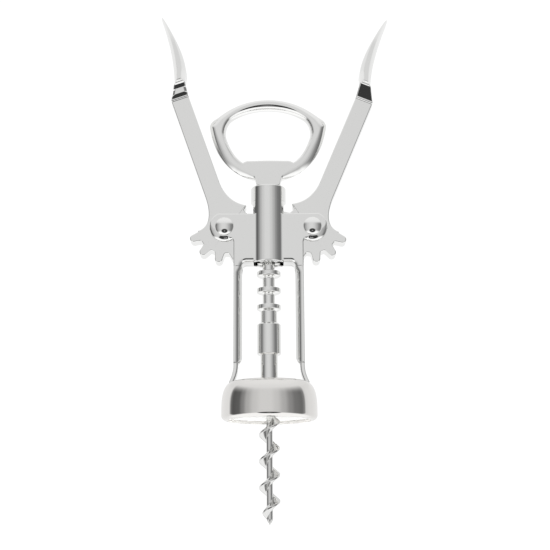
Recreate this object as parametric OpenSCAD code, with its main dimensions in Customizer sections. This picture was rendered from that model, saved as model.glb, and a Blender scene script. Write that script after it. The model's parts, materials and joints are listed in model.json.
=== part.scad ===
// Wing corkscrew with a ring handle that is also a cap lifter.
// Millimetres. Origin: centre of the bell's rim. +Z up the screw, +X to the right-hand lever,
// -Y to the side that is looked at. Drawn with both levers raised and the screw run down.

/* [Frame] */
// Thickness of the stamped frame sheet
sheet_t = 1.2; // [0.9:0.1:1.5]
// Clear space between the front and the back plate
plate_gap = 6.8; // [6:0.2:8]
// Half width of the flat plates and of the legs, over their outer edges
plate_half_w = 13.05; // [12.6:0.05:14]
// Height of the plates' top edge under the top of the ears
plate_top_drop = 0.6; // [0:0.1:1.5]
// Height of the window's top edge, which is also the tube's lower end
window_top_z = 59.6; // [57:0.2:61]
// Radius in the window's two upper corners
window_corner_r = 1.7; // [0.6:0.1:2.5]
// Width of one leg seen from the front
leg_w = 3.1; // [2.6:0.1:3.6]
// Height at which a leg's front strip ends
leg_strip_end_z = 21.6; // [20:0.2:26]
// Thickness of the leg's side wall, which runs on as a tongue to the bell
tongue_t = 1.1; // [0.8:0.1:1.4]
// Depth of one half's tongue, from the middle plane outwards
tongue_depth = 3.4; // [2.4:0.2:4]
// Distance that the tongue's foot flares outwards
foot_flare = 1.6; // [0.6:0.1:2]
// Height over the bell at which the flare begins
flare_h = 6.2; // [3:0.2:6.6]

/* [Tube] */
// Outer radius of the tube that guides the rack
tube_r = 6.6; // [6.2:0.1:7]
// Height of the tube's top edge
tube_top_z = 88.1; // [86:0.5:96]

/* [Pivots] */
// Distance of each pivot from the middle
pivot_x = 16.5; // [16.3:0.1:17.5]
// Height of the pivots
pivot_z = 72.1; // [71:0.2:74]
// Radius of the round ears on the plates
ear_r = 5.6; // [4.6:0.1:6]
// Radius of the rivet's shank
rivet_r = 2.5; // [1.8:0.1:3]
// Radius of the rivet's domed heads
rivet_head_r = 3.45; // [3.2:0.05:4.2]
// Height of a domed head
rivet_head_h = 1.9; // [1.2:0.1:2.6]
// Radial running clearance of a lever on its rivet
pivot_clearance = 0.05; // [0.02:0.01:0.1]

/* [Levers] */
// Gap between a lever and each plate
lever_side_gap = 0.3; // [0.2:0.05:0.6]
// Lean of each raised arm from upright, in degrees
arm_lean = 21; // [19:0.5:24]
// Angle that the teeth's play lets the left arm stand straighter and the right arm lean further
arm_play = 1.8; // [0:0.1:2]
// Width of an arm
arm_w = 6.9; // [6:0.1:7.6]
// Distance of the flat arm's end from the pivot
arm_end = 55.4; // [50:0.5:60]
// Distance of the grip's beginning from the pivot
grip_start = 62.4; // [59:0.2:64]
// Distance of the grip's tip from the pivot
grip_tip = 90.3; // [84:0.5:96]
// Bulge of the grip's curve, about its greatest thickness seen from the front
grip_t = 4.4; // [3.8:0.1:5]
// Width of the grip's foot across its flat side
grip_foot_w = 8.4; // [6:0.2:10]
// Width of the grip's foot seen from the front
grip_neck_w = 3.6; // [3:0.1:4.4]
// Sideways place of the tip from the line through the pivot
tip_x = 4.5; // [3:0.1:6]
// Width of the grip across its flat side
grip_w = 16; // [13:0.5:20]
// Radius of the gear teeth's tips
tooth_tip_r = 13.7; // [13.2:0.1:13.8]
// Radius of the gear's root
tooth_root_r = 10.1; // [9.6:0.1:10.6]
// Width of a tooth at its root
tooth_root_w = 2.84; // [2.4:0.1:3.2]
// Width of a tooth at its tip
tooth_tip_w = 2.2; // [1.6:0.1:2.4]
// Angle from one tooth to the next, in degrees
tooth_step = 30; // [29:0.5:31]

/* [Rack] */
// Distance from one ring to the next
rack_pitch = 6.37; // [6.2:0.05:6.5]
// Number of rings
rack_rings = 7; // [6:1:7]
// Height of the lowest ring's middle
rack_low_z = 41.65; // [41.3:0.05:42.2]
// Radius of the rings
ring_r = 4.5; // [4.2:0.1:4.8]
// Thickness of a ring
ring_t = 2; // [1.6:0.1:2.3]
// Radius of the rack's stem between the rings
stem_r = 2.35; // [2.1:0.05:2.5]
// Radius of the plain shoulder under the lowest ring
shoulder_r = 3.1; // [2.8:0.05:3.3]

/* [Spindle] */
// Radius of the spindle that runs through the rack
spindle_r = 1.5; // [1.3:0.05:1.6]
// Radial running clearance of the spindle in the rack
spindle_clearance = 0.05; // [0.02:0.01:0.1]
// Radius of the ferrule
ferrule_r = 4.4; // [4.1:0.1:5]
// Height of the ferrule's top
ferrule_top_z = 35.7; // [34:0.1:36]
// Length of the ferrule
ferrule_len = 11.9; // [9:0.1:13]
// Chamfer on the ferrule's ends
ferrule_chamfer = 0.5; // [0.2:0.1:0.8]
// Radius of the worm's socket below the ferrule
socket_r = 3.2; // [2.9:0.1:3.6]
// Height of the socket's lower end, inside the bell
socket_low_z = 7; // [5:0.5:9]
// Radius of the cross pins
pin_r = 0.75; // [0.5:0.05:0.9]

/* [Worm] */
// Radius of the worm's core
worm_core_r = 1.15; // [1:0.05:1.3]
// Radius of the worm's flight
worm_r = 3.75; // [3.2:0.05:4.2]
// Rise of the flight in one turn
worm_pitch = 9.4; // [8:0.1:11]
// Turn of the flight about the screw's axis as drawn, in degrees
worm_start = -19; // [-180:1:180]
// Depth of the worm's point below the bell's rim
worm_depth = 37.3; // [32:0.1:45]
// Thickness of the flight at the core
flight_root_t = 3.2; // [2.4:0.1:4]
// Thickness of the flight at its edge
flight_edge_t = 0.7; // [0.4:0.1:1.2]
// Length of the sharpened point
point_len = 2.4; // [1.5:0.1:4]

/* [Bell] */
// Outer radius of the bell
bell_r = 17.55; // [17.2:0.05:19]
// Height of the bell
bell_h = 14.1; // [13.6:0.1:15]
// Thickness of the bell's wall
bell_wall = 1.1; // [0.8:0.1:1.3]
// Radius of the flat part of the bell's top
bell_flat_r = 12; // [10:0.5:12.5]
// Height of the straight side, from the rim
bell_side_h = 6.5; // [5:0.5:7]
// Rounding of the bell's lower edge
bell_edge_r = 1.8; // [1.2:0.1:2.2]
// Width of the flat rim inside that rounding
rim_w = 0.5; // [0.3:0.1:1]
// Height of the rim's lip, which holds the liner
rim_lip_h = 1.2; // [0.8:0.1:2]
// Radial clearance of the worm's flight in the bell's hole
bell_hole_clearance = 0.4; // [0.3:0.05:0.8]
// Height of the white liner ring
liner_h = 5; // [3:0.5:6]

/* [Handle] */
// Half width of the ring handle
ring_half_w = 22.5; // [20:0.5:26]
// Length of the flat neck between the tube's top and the ring
neck_len = 3.2; // [2:0.1:6]
// Height of the ring, from the neck to its top
ring_h = 32.7; // [29:0.1:38]
// Height over the neck of the ring's two shoulders, where it is widest
ring_shoulder_h = 22.3; // [20:0.1:24]
// Width of the ring's band at its sides
band_w = 6.4; // [5:0.1:7]
// Width of the ring's band at its top
band_top_w = 4.2; // [3:0.1:5]
// Thickness of the ring, front to back
band_t = 5.4; // [4.4:0.1:6.4]
// Height over the neck of the lip that lifts a crown cap
lip_h = 7.9; // [6.8:0.1:9.6]
// Half width of the lip
lip_half_w = 8.4; // [7:0.1:9.5]
// Thickness of the flat web under the lip
web_t = 3.4; // [2.8:0.1:4]
// Width of the flat neck
neck_w = 9.4; // [8:0.1:9.8]
// Length of the handle's round shank that stands in the tube
shank_len = 6.1; // [5:0.1:6.5]

/* [Hidden] */
$fn = 64;
far = 100;
// Distance that a cut or a joined piece runs past a face
overlap = 1;

// Frame: y of the plates' outer and inner faces, from the middle plane
plate_in = plate_gap / 2;
plate_out = plate_in + sheet_t;
plate_top_z = pivot_z + ear_r - plate_top_drop;
tube_in_r = tube_r - sheet_t;
// The teeth swing through the tube's sides up to here, and the two halves close above
slot_clearance = 0.6;
slot_top_z = pivot_z + sqrt(pow(tooth_tip_r, 2) - pow(pivot_x - tube_r, 2)) + slot_clearance;
// The legs turn their side wall in below the teeth's lowest reach
leg_clearance = 0.5;
leg_top_z = pivot_z - sqrt(pow(tooth_tip_r, 2) - pow(pivot_x - plate_half_w, 2)) - leg_clearance;
leg_in_x = plate_half_w - leg_w;
strip_slant = 1.7;

// Gear and rack in mesh: a tooth stands in each gap between rings
mesh_r = rack_pitch / (tooth_step * PI / 180);
gap_z = rack_low_z - rack_pitch / 2;
gaps_below = floor((pivot_z - gap_z) / rack_pitch);
tooth_phase = (gap_z + gaps_below * rack_pitch - pivot_z) / mesh_r * 180 / PI;
teeth_below = 5;
teeth_above = 1;
tooth_taper = 0.6;
lever_t = plate_gap - 2 * lever_side_gap;
rack_top_z = rack_low_z + (rack_rings - 1) * rack_pitch + ring_t / 2;

// Lever outline, with the arm along +y and the tube on the +x side: the arm's middle line, the
// heights where its two sides leave it, the hook beside the tube and the angle that ends the gear
arm_shift = 0.5;
arm_half = arm_w / 2;
hook_side_y = 17;
back_side_y = 13;
hook_r = 12;
hook_angle = 27;
hook_under_angle = 24;
hook_back_r = tooth_root_r - 0.9;
hook_back_angle = 6;
gear_side_angle = 20;
gear_back_angle = 12;

// Grip outline in the same frame: its foot, its heel beside the tube and the hollow of its back
grip_foot_x = 0.8;
heel_x = 6.2;
heel_rise = 2;
belly_share = 0.35;
hollow_x = 3.1;
grip_wide_share = 0.4;

// Rack ring: its lower and upper chamfers, and how much thicker it is at the stem
ring_low_chamfer = [0.5, 0.6];
ring_top_chamfer = [0.3, 0.4];
ring_root_t = 0.2;
stem_stub = 0.6;

// Spindle: sleeve, ferrule, socket and pins
ferrule_low_z = ferrule_top_z - ferrule_len;
rack_thrust_gap = 0.1;
shank_low_z = tube_top_z - shank_len;
shank_top_gap = 0.3;
shank_top_z = tube_top_z - shank_top_gap;
handle_grip_len = 5.5;
spindle_top_z = shank_low_z + handle_grip_len;
socket_floor = 2.5;
spindle_low_z = ferrule_low_z + socket_floor;
handle_pin_rise = 3;
handle_pin_z = shank_low_z + handle_pin_rise;
worm_pin_rise = 1;
worm_pin_z = (ferrule_low_z + ferrule_top_z) / 2 + worm_pin_rise;
pin_recess = 0.3;
shank_r = neck_w / 2;
worm_shank_r = worm_core_r + 0.1;
worm_pin_recess = 0.15;
worm_top_gap = 0.4;
flight_top_z = socket_low_z - worm_top_gap;
flight_low_z = -worm_depth + point_len;
flight_fade = 6;

// Bell
bell_in_r = bell_r - bell_wall;
mouth_r = bell_r - bell_edge_r - rim_w;
bell_ceiling_z = bell_h - bell_wall;
foot_x = plate_half_w + foot_flare;
foot_sink = 0.3;
foot_top_z = bell_h - foot_sink;
tongue_hold = 1.2;
tongue_low_z = bell_ceiling_z - tongue_hold;
// How full the bell's shoulder is: 1 is an ellipse, less is squarer
fullness = 0.68;

// Ring handle: its heights
ring_low_z = tube_top_z + neck_len;
ring_top_z = ring_low_z + ring_h;
ring_shoulder_z = ring_low_z + ring_shoulder_h;
lip_z = ring_low_z + lip_h;

// Ring handle, right half: the outline's corner under the top, its lowest stretch, the opening's
// corners, and how full the band's oval section is (1 is an ellipse, less is squarer)
corner_in = 4.2;
corner_drop = 5.3;
side_pull = 3.4;
side_rise = 4.5;
neck_flare = 0.4;
open_corner_in = 1.6;
open_corner_rise = 0.9;
open_side_out = 1.8;
open_low_in = 1.2;
open_low_drop = 9;
lip_end_out = 1.4;
lip_end_drop = 1.2;
band_fullness = 0.8;
web_step = 2;

// Points on an arc round c, from angle a0 to a1
function arc(c, r, a0, a1, n) =
    [for (i = [0:n]) let (a = a0 + (a1 - a0) * i / n) [c[0] + r * cos(a), c[1] + r * sin(a)]];

// Points on a smooth quadratic curve from p to r that leans towards q, without its first point
function bend(p, q, r, n) =
    [for (i = [1:n]) let (t = i / n) pow(1 - t, 2) * p + 2 * t * (1 - t) * q + pow(t, 2) * r];

// A quarter of a superellipse from the top (flat_r, z0 + b) down to the side (flat_r + a, z0)
function shoulder(flat_r, z0, a, b, n) =
    [for (i = [0:n]) let (t = 90 * i / n)
        [flat_r + a * pow(sin(t), fullness), z0 + b * pow(cos(t), fullness)]];

// The same points on the other side of the middle line, in reverse order
function flip(points) = [for (i = [len(points) - 1:-1:0]) [-points[i][0], points[i][1]]];

// Stands a drawing of x and z up and gives it a depth from y0 to y1
module upright(y0, y1) {
    translate([0, y1, 0]) rotate([90, 0, 0]) linear_extrude(height = y1 - y0) children();
}

// --- Frame -------------------------------------------------------------------------------

// Outline of one plate with its two ears and the beginning of its two legs
module plate_outline() {
    difference() {
        union() {
            translate([-plate_half_w, leg_top_z - overlap])
                square([2 * plate_half_w, plate_top_z - leg_top_z + overlap]);
            for (side = [-1, 1]) translate([side * pivot_x, pivot_z]) circle(ear_r);
            translate([-pivot_x, pivot_z]) square([2 * pivot_x, ear_r - plate_top_drop]);
        }
        for (side = [-1, 1]) translate([side * pivot_x, pivot_z]) circle(rivet_r);
    }
}

// The window between the legs, with its two rounded upper corners
module window_outline() {
    corner = arc([leg_in_x - window_corner_r, window_top_z - window_corner_r], window_corner_r, 0, 90, 8);
    foot = [leg_in_x, leg_top_z - 2 * overlap];
    polygon(concat([foot], corner, flip(corner), [[-foot[0], foot[1]]]));
}

// Half of the tube before it is bored: only the part proud of the plate beside the levers, and
// all of it above them
module half_tube() {
    intersection() {
        translate([0, 0, window_top_z - overlap])
            cylinder(h = tube_top_z - window_top_z + overlap, r = tube_r);
        union() {
            translate([-far / 2, -far - plate_in, 0]) cube([far, far, far]);
            translate([-far / 2, -far, slot_top_z]) cube([far, far, far]);
        }
    }
}

// Cross-section of one leg: a quarter of a rounded channel, from its front strip to its side
module leg_section() {
    steps = 10;
    polygon(concat(
        [for (i = [0:steps]) let (t = 90 * i / steps) [leg_in_x + leg_w * sin(t), -plate_out * cos(t)]],
        [for (i = [steps:-1:0]) let (t = 90 * i / steps)
            [leg_in_x + (leg_w - tongue_t) * sin(t), -(plate_out - tongue_t) * cos(t)]]));
}

// Side view of the tongue's foot, which flares out and goes down through the bell
module foot_outline() {
    flare_top = foot_top_z + flare_h;
    outer = [for (i = [0:8]) let (t = i / 8) [plate_half_w + foot_flare * t * t, flare_top - flare_h * t]];
    inner = [for (i = [8:-1:0]) let (t = i / 8)
        [plate_half_w - tongue_t + foot_flare * t * t, flare_top - flare_h * t]];
    polygon(concat([[plate_half_w, flare_top + overlap]], outer,
                   [[foot_x, tongue_low_z], [foot_x - tongue_t, tongue_low_z]], inner,
                   [[plate_half_w - tongue_t, flare_top + overlap]]));
}

module leg() {
    difference() {
        translate([0, 0, foot_top_z + flare_h]) linear_extrude(height = leg_top_z - foot_top_z - flare_h)
            leg_section();
        // The front strip ends on a slant, and only the side wall goes on
        upright(-far / 2, 0)
            polygon([[leg_in_x - overlap, 0], [plate_half_w - tongue_t, 0],
                     [plate_half_w - tongue_t, leg_strip_end_z - strip_slant / 2],
                     [leg_in_x, leg_strip_end_z + strip_slant / 2],
                     [leg_in_x - overlap, leg_strip_end_z + strip_slant / 2]]);
        translate([0, -tongue_depth - far, 0]) cube([far, far, leg_strip_end_z - strip_slant / 2]);
    }
    upright(-tongue_depth, 0) foot_outline();
}

module frame_half() {
    difference() {
        union() {
            upright(-plate_out, -plate_in) plate_outline();
            half_tube();
        }
        translate([0, 0, leg_top_z - 2 * overlap]) cylinder(h = far, r = tube_in_r);
        upright(-far / 2, 0) window_outline();
    }
    leg();
    mirror([1, 0, 0]) leg();
}

module frame_front() { color("silver") frame_half(); }

module frame_back() { color("silver") mirror([0, 1, 0]) frame_half(); }

// A rivet along y with a domed head on each plate
module pivot_rivet(side) {
    dome_r = (pow(rivet_head_r, 2) + pow(rivet_head_h, 2)) / (2 * rivet_head_h);
    half_angle = asin(rivet_head_r / dome_r);
    dome = concat([[0, 0]], arc([0, rivet_head_h - dome_r], dome_r, 90 - half_angle, 90, 12));
    translate([side * pivot_x, 0, pivot_z]) rotate([90, 0, 0]) {
        cylinder(h = 2 * plate_out, r = rivet_r, center = true);
        for (end = [0, 1]) mirror([0, 0, end]) translate([0, 0, plate_out])
            rotate_extrude() polygon(dome);
    }
}

module left_pivot_rivet() { color("gainsboro") pivot_rivet(-1); }

module right_pivot_rivet() { color("gainsboro") pivot_rivet(1); }

// --- Bell --------------------------------------------------------------------------------

// The outside of the bell's profile, from the axis over the shoulder to the rim
function bell_profile(r, h, flat_r, side_h, edge_r) = concat(
    [[0, h]], shoulder(flat_r, side_h, r - flat_r, h - side_h, 14),
    arc([r - edge_r, edge_r], edge_r, 0, -90, 6), [[0, 0]]);

module bell() {
    color("silver") difference() {
        rotate_extrude($fn = 96)
            polygon(bell_profile(bell_r, bell_h, bell_flat_r, bell_side_h, bell_edge_r));
        rotate_extrude($fn = 96)
            polygon(concat([[0, bell_ceiling_z]],
                shoulder(bell_flat_r - bell_wall, bell_side_h - bell_wall,
                         bell_in_r - bell_flat_r + bell_wall, bell_ceiling_z - bell_side_h + bell_wall, 14),
                [[bell_in_r, rim_lip_h], [mouth_r, rim_lip_h], [mouth_r, -overlap], [0, -overlap]]));
        cylinder(h = far, r = max(worm_r, socket_r) + bell_hole_clearance);
        for (side = [0, 1]) mirror([side, 0, 0])
            translate([foot_x - tongue_t, -tongue_depth, tongue_low_z])
                cube([tongue_t, 2 * tongue_depth, far]);
    }
}

// The liner lies on the rim's lip and is as wide inside as the bell's mouth
module bell_liner() {
    color("white") translate([0, 0, rim_lip_h]) difference() {
        cylinder(h = liner_h, r = bell_in_r, $fn = 96);
        translate([0, 0, -overlap]) cylinder(h = liner_h + 2 * overlap, r = mouth_r, $fn = 96);
    }
}

// --- Levers ------------------------------------------------------------------------------

// One gear tooth that points along +x from the pivot, with a rounded tip
module tooth() {
    tip_round = tooth_tip_w / 2;
    polygon(concat([[0, -tooth_root_w / 2], [tooth_root_r - tooth_taper, -tooth_root_w / 2]],
                   arc([tooth_tip_r - tip_round, 0], tip_round, -90, 90, 10),
                   [[tooth_root_r - tooth_taper, tooth_root_w / 2], [0, tooth_root_w / 2]]));
}

// Point at radius r from the pivot, at an angle above the +x side
function around(r, angle) = [r * cos(angle), r * sin(angle)];

// Flat shape of a left lever's gear and arm. Its arm points along +y from the pivot, and the
// side that faces the tube is +x.
module lever_flat() {
    hook_side = [arm_shift + arm_half, hook_side_y];
    back_side = [arm_shift - arm_half, back_side_y];
    hook_tip = around(hook_r, hook_angle);
    gear_back = around(tooth_root_r, 180 - gear_back_angle);
    difference() {
        union() {
            polygon(concat([[arm_shift + arm_half, arm_end], hook_side],
                bend(hook_side, [arm_half + 2 * arm_shift, hook_tip[1] + arm_half], hook_tip, 8),
                [around(tooth_root_r, hook_under_angle), around(hook_back_r, hook_back_angle),
                 [0, -tooth_root_r / 2], gear_back],
                bend(gear_back, [-arm_half, gear_back[1]], back_side, 8),
                [[arm_shift - arm_half, arm_end]]));
            intersection() {
                circle(tooth_root_r);
                polygon([[0, 0], around(far, gear_side_angle), [far, -far], [-far, -far],
                         around(far, 180 - gear_back_angle)]);
            }
            for (i = [-teeth_below:teeth_above])
                rotate(tooth_phase + i * tooth_step - arm_lean) tooth();
        }
        circle(rivet_r + pivot_clearance);
    }
}

// Front view of the curved grip, in the frame of lever_flat: a crescent that ends in the tip
module grip_curve() {
    foot = [grip_foot_x, grip_start];
    tip = [tip_x, grip_tip];
    heel = [heel_x, grip_start + heel_rise];
    belly = [2 * grip_t, heel[1] + belly_share * (tip[1] - heel[1])];
    polygon(concat([foot, [grip_foot_x + grip_neck_w, grip_start], heel],
                   bend(heel, belly, tip, 12),
                   bend(tip, [hollow_x, (grip_start + grip_tip) / 2], foot, 12)));
}

// Side view of the grip: y across, height along the arm
module grip_width() {
    half = grip_w / 2;
    foot = [grip_foot_w / 2, grip_start];
    wide = [half, grip_start + grip_wide_share * (grip_tip - grip_start)];
    side = concat([foot], bend(foot, [half, grip_start + heel_rise], wide, 8),
                  bend(wide, [half, grip_tip], [0, grip_tip], 10));
    polygon(concat(side, flip(side)));
}

// A lever with its flat arm, the neck that turns a quarter and the grip across it
module lever(play) {
    neck_end_t = 0.5;
    translate([-pivot_x, 0, pivot_z]) rotate([0, play - arm_lean, 0]) {
        upright(-lever_t / 2, lever_t / 2) lever_flat();
        intersection() {
            upright(-far / 2, far / 2) grip_curve();
            rotate([0, 0, 90]) upright(-far / 2, far / 2) grip_width();
        }
        hull() {
            translate([arm_shift - arm_half, -lever_t / 2, arm_end - neck_end_t])
                cube([arm_w, lever_t, neck_end_t]);
            translate([grip_foot_x, -grip_foot_w / 2, grip_start])
                cube([grip_neck_w, grip_foot_w, neck_end_t]);
        }
    }
}

module left_lever() { color("silver") lever(arm_play); }

module right_lever() { color("silver") mirror([1, 0, 0]) lever(-arm_play); }

// --- Rack, spindle and worm --------------------------------------------------------------

// Profile of one ring of the rack about its middle height: thicker where it meets the stem
function ring_profile(z) = let (low = z - ring_t / 2, top = z + ring_t / 2) [
    [stem_r, low - ring_root_t], [ring_r - ring_low_chamfer[0], low], [ring_r, low + ring_low_chamfer[1]],
    [ring_r, top - ring_top_chamfer[1]], [ring_r - ring_top_chamfer[0], top], [stem_r, top + ring_root_t]];

module rack_sleeve() {
    low_z = ferrule_top_z + rack_thrust_gap;
    bore_r = spindle_r + spindle_clearance;
    color("silver") rotate_extrude() polygon(concat(
        [[bore_r, low_z], [shoulder_r, low_z], [shoulder_r, rack_low_z - ring_t / 2]],
        [for (i = [0:rack_rings - 1]) each ring_profile(rack_low_z + i * rack_pitch)],
        [[stem_r, rack_top_z + stem_stub], [bore_r, rack_top_z + stem_stub]]));
}

module spindle() {
    color("darkgray") difference() {
        translate([0, 0, spindle_low_z]) cylinder(h = spindle_top_z - spindle_low_z, r = spindle_r);
        for (z = [handle_pin_z, worm_pin_z]) cross_pin(z, far);
    }
}

// A pin across the spindle, along y
module cross_pin(z, length) {
    translate([0, 0, z]) rotate([90, 0, 0]) cylinder(h = length, r = pin_r, center = true);
}

module handle_pin() { color("dimgray") cross_pin(handle_pin_z, 2 * (shank_r - pin_recess)); }

module worm_pin() { color("dimgray") cross_pin(worm_pin_z, 2 * (socket_r - worm_pin_recess)); }

module ferrule() {
    color("silver") rotate_extrude() polygon([
        [socket_r, ferrule_low_z], [ferrule_r - ferrule_chamfer, ferrule_low_z],
        [ferrule_r, ferrule_low_z + ferrule_chamfer], [ferrule_r, ferrule_top_z - ferrule_chamfer],
        [ferrule_r - ferrule_chamfer, ferrule_top_z], [socket_r, ferrule_top_z]]);
}

module worm_socket() {
    color("silver") difference() {
        translate([0, 0, socket_low_z]) cylinder(h = ferrule_top_z - socket_low_z, r = socket_r);
        translate([0, 0, spindle_low_z]) cylinder(h = far, r = spindle_r);
        translate([0, 0, socket_low_z - overlap])
            cylinder(h = spindle_low_z - socket_low_z + overlap, r = worm_shank_r);
        cross_pin(worm_pin_z, far);
    }
}

// Radius of the worm's flight over its height z: full above, fading out to the core at the point
function flight_reach(z) = let (fade = (z - flight_low_z) / flight_fade)
    worm_core_r + (worm_r - worm_core_r) * (fade >= 1 ? 1 : fade <= 0 ? 0 : sqrt(fade));

// Radius of the worm's surface at angle a and height z: a core with one right-handed flight
function worm_surface(a, z) =
    let (turn = z / worm_pitch - (a + worm_start) / 360,
         off = abs(turn - round(turn)) * worm_pitch,
         side = (flight_root_t / 2 - off) / ((flight_root_t - flight_edge_t) / 2),
         part = side >= 1 ? 1 : side <= 0 ? 0 : side)
    worm_core_r + (flight_reach(z) - worm_core_r) * part;

module worm() {
    sides = 20;
    rows = 96;
    step = (flight_top_z - flight_low_z) / rows;
    // The flight ends under the socket, and a plain stretch of the core goes on into the shank
    levels = concat([for (i = [0:rows]) flight_low_z + step * i], [flight_top_z + overlap]);
    last = len(levels) - 1;
    grid = [for (i = [0:last]) for (k = [0:sides - 1])
        let (a = 360 * k / sides,
             r = i == 0 || i >= rows ? worm_core_r : worm_surface(a, levels[i]))
        [r * cos(a), r * sin(a), levels[i]]];
    low = len(grid);
    faces = concat(
        [for (i = [0:last - 1]) for (k = [0:sides - 1])
            let (n = (k + 1) % sides) [i * sides + k, (i + 1) * sides + k, (i + 1) * sides + n]],
        [for (i = [0:last - 1]) for (k = [0:sides - 1])
            let (n = (k + 1) % sides) [i * sides + k, (i + 1) * sides + n, i * sides + n]],
        [for (k = [0:sides - 1]) [low, k, (k + 1) % sides]],
        [for (k = [0:sides - 1]) [low + 1, last * sides + (k + 1) % sides, last * sides + k]]);
    color("silver") {
        polyhedron(concat(grid, [[0, 0, -worm_depth], [0, 0, levels[last]]]), faces, convexity = 8);
        translate([0, 0, flight_top_z + overlap / 2])
            cylinder(h = spindle_low_z - flight_top_z - overlap / 2, r = worm_shank_r);
    }
}

// --- Handle ------------------------------------------------------------------------------

// Right half of the ring's outer outline, from the top down to the neck
function ring_outside() =
    let (top = [0, ring_top_z], corner = [ring_half_w - corner_in, ring_top_z - corner_drop],
         side = [ring_half_w, ring_shoulder_z - web_step])
    concat([top],
        bend(top, [ring_half_w / 2, ring_top_z], corner, 8),
        bend(corner, [ring_half_w, ring_shoulder_z + web_step], side, 6),
        bend(side, [ring_half_w - side_pull, ring_low_z + side_rise],
             [neck_w / 2 + neck_flare, ring_low_z], 12));

// Right half of the ring's opening, from the top down to the lip
function ring_inside() =
    let (top = [0, ring_top_z - band_top_w], in_w = ring_half_w - band_w,
         corner = [in_w - open_corner_in, ring_shoulder_z + open_corner_rise],
         side = [in_w - open_low_in, ring_shoulder_z - open_low_drop])
    concat([top],
        bend(top, [in_w / 2, top[1]], corner, 8),
        bend(corner, [in_w + open_side_out, ring_shoulder_z - web_step], side, 6),
        bend(side, [lip_half_w + side_rise, lip_z + open_corner_rise],
             [lip_half_w + lip_end_out, lip_z - lip_end_drop], 12));

// The rounded band of the ring: an oval section carried from one side of the neck over the top
// and down to the other, always between the inner and the outer outline
module ring_band() {
    sides = 16;
    outer = concat(flip(ring_outside()), [for (i = [1:len(ring_outside()) - 1]) ring_outside()[i]]);
    inner = concat(flip(ring_inside()), [for (i = [1:len(ring_inside()) - 1]) ring_inside()[i]]);
    n = len(outer);
    grid = [for (i = [0:n - 1]) for (k = [0:sides - 1])
        let (a = 360 * k / sides, mid = (outer[i] + inner[i]) / 2, out = (outer[i] - inner[i]) / 2,
             c = sign(cos(a)) * pow(abs(cos(a)), band_fullness),
             s = sign(sin(a)) * pow(abs(sin(a)), band_fullness))
        [mid[0] + out[0] * c, -band_t / 2 * s, mid[1] + out[1] * c]];
    faces = concat(
        [for (i = [0:n - 2]) for (k = [0:sides - 1]) let (m = (k + 1) % sides)
            [i * sides + k, (i + 1) * sides + k, (i + 1) * sides + m]],
        [for (i = [0:n - 2]) for (k = [0:sides - 1]) let (m = (k + 1) % sides)
            [i * sides + k, (i + 1) * sides + m, i * sides + m]],
        [for (k = [0:sides - 1]) [n * sides, k, (k + 1) % sides]],
        [for (k = [0:sides - 1]) [n * sides + 1, (n - 1) * sides + (k + 1) % sides, (n - 1) * sides + k]]);
    ends = [for (i = [0, n - 1]) [(outer[i][0] + inner[i][0]) / 2, 0, (outer[i][1] + inner[i][1]) / 2]];
    polyhedron(concat(grid, ends), faces, convexity = 6);
}

module handle() {
    low = ring_outside()[len(ring_outside()) - 1];
    // The web's right edge, hidden in the band, from the lip down to the neck
    web_side = [[lip_half_w, lip_z], [lip_half_w + 2 * lip_end_out, lip_z - 2 * lip_end_drop],
                low + [web_step, lip_end_drop], low, [neck_w / 2, shank_top_z - overlap]];
    color("silver") difference() {
        union() {
            ring_band();
            upright(-web_t / 2, web_t / 2) polygon(concat(web_side, flip(web_side)));
            translate([0, 0, shank_low_z]) cylinder(h = shank_top_z - shank_low_z, r = shank_r);
        }
        translate([0, 0, shank_low_z - overlap])
            cylinder(h = spindle_top_z - shank_low_z + overlap, r = spindle_r);
        cross_pin(handle_pin_z, 2 * (shank_r - pin_recess));
    }
}

frame_front();
frame_back();
left_pivot_rivet();
right_pivot_rivet();
bell();
bell_liner();
left_lever();
right_lever();
rack_sleeve();
spindle();
handle();
handle_pin();
ferrule();
worm_socket();
worm_pin();
worm();
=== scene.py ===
# %% [markdown]
# # A wing corkscrew in chrome
#
# The tool has a stamped frame, two geared levers, a ringed rack with a worm below it, a bell that
# sits on the bottle and a ring handle that lifts crown caps. Chrome shows nothing but what stands
# around it, so this lesson has two halves: surfaces whose curvature is exact, and a soft studio
# that gives those surfaces something to mirror.

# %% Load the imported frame
import json
import math

import bmesh
import bpy
import numpy as np
from mathutils import Matrix, Vector


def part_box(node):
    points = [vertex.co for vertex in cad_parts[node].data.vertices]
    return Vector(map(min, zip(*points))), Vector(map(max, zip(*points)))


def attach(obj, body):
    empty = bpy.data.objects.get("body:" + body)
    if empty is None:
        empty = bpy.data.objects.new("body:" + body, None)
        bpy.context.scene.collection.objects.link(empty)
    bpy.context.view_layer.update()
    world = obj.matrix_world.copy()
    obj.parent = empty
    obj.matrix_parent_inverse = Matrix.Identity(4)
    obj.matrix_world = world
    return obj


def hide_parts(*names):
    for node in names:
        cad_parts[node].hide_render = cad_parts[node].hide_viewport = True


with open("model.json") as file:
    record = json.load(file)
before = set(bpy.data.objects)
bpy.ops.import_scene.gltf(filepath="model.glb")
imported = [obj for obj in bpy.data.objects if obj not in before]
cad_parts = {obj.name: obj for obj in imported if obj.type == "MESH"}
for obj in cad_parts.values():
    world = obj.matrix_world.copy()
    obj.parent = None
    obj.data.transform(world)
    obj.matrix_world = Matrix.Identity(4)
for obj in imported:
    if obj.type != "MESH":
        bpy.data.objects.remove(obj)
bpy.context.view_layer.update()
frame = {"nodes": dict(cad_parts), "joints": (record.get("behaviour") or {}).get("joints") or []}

# %% [markdown]
# ## Sizes
#
# All shapes are worked out in millimetres and turned into metres when a mesh is made. Whatever the
# frame can tell is read from it: the pivots from the joints, and the outer sizes from the boxes of
# the CAD nodes. Only what a box can't tell, such as a wall or a rounding, is a value of its own.

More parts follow.
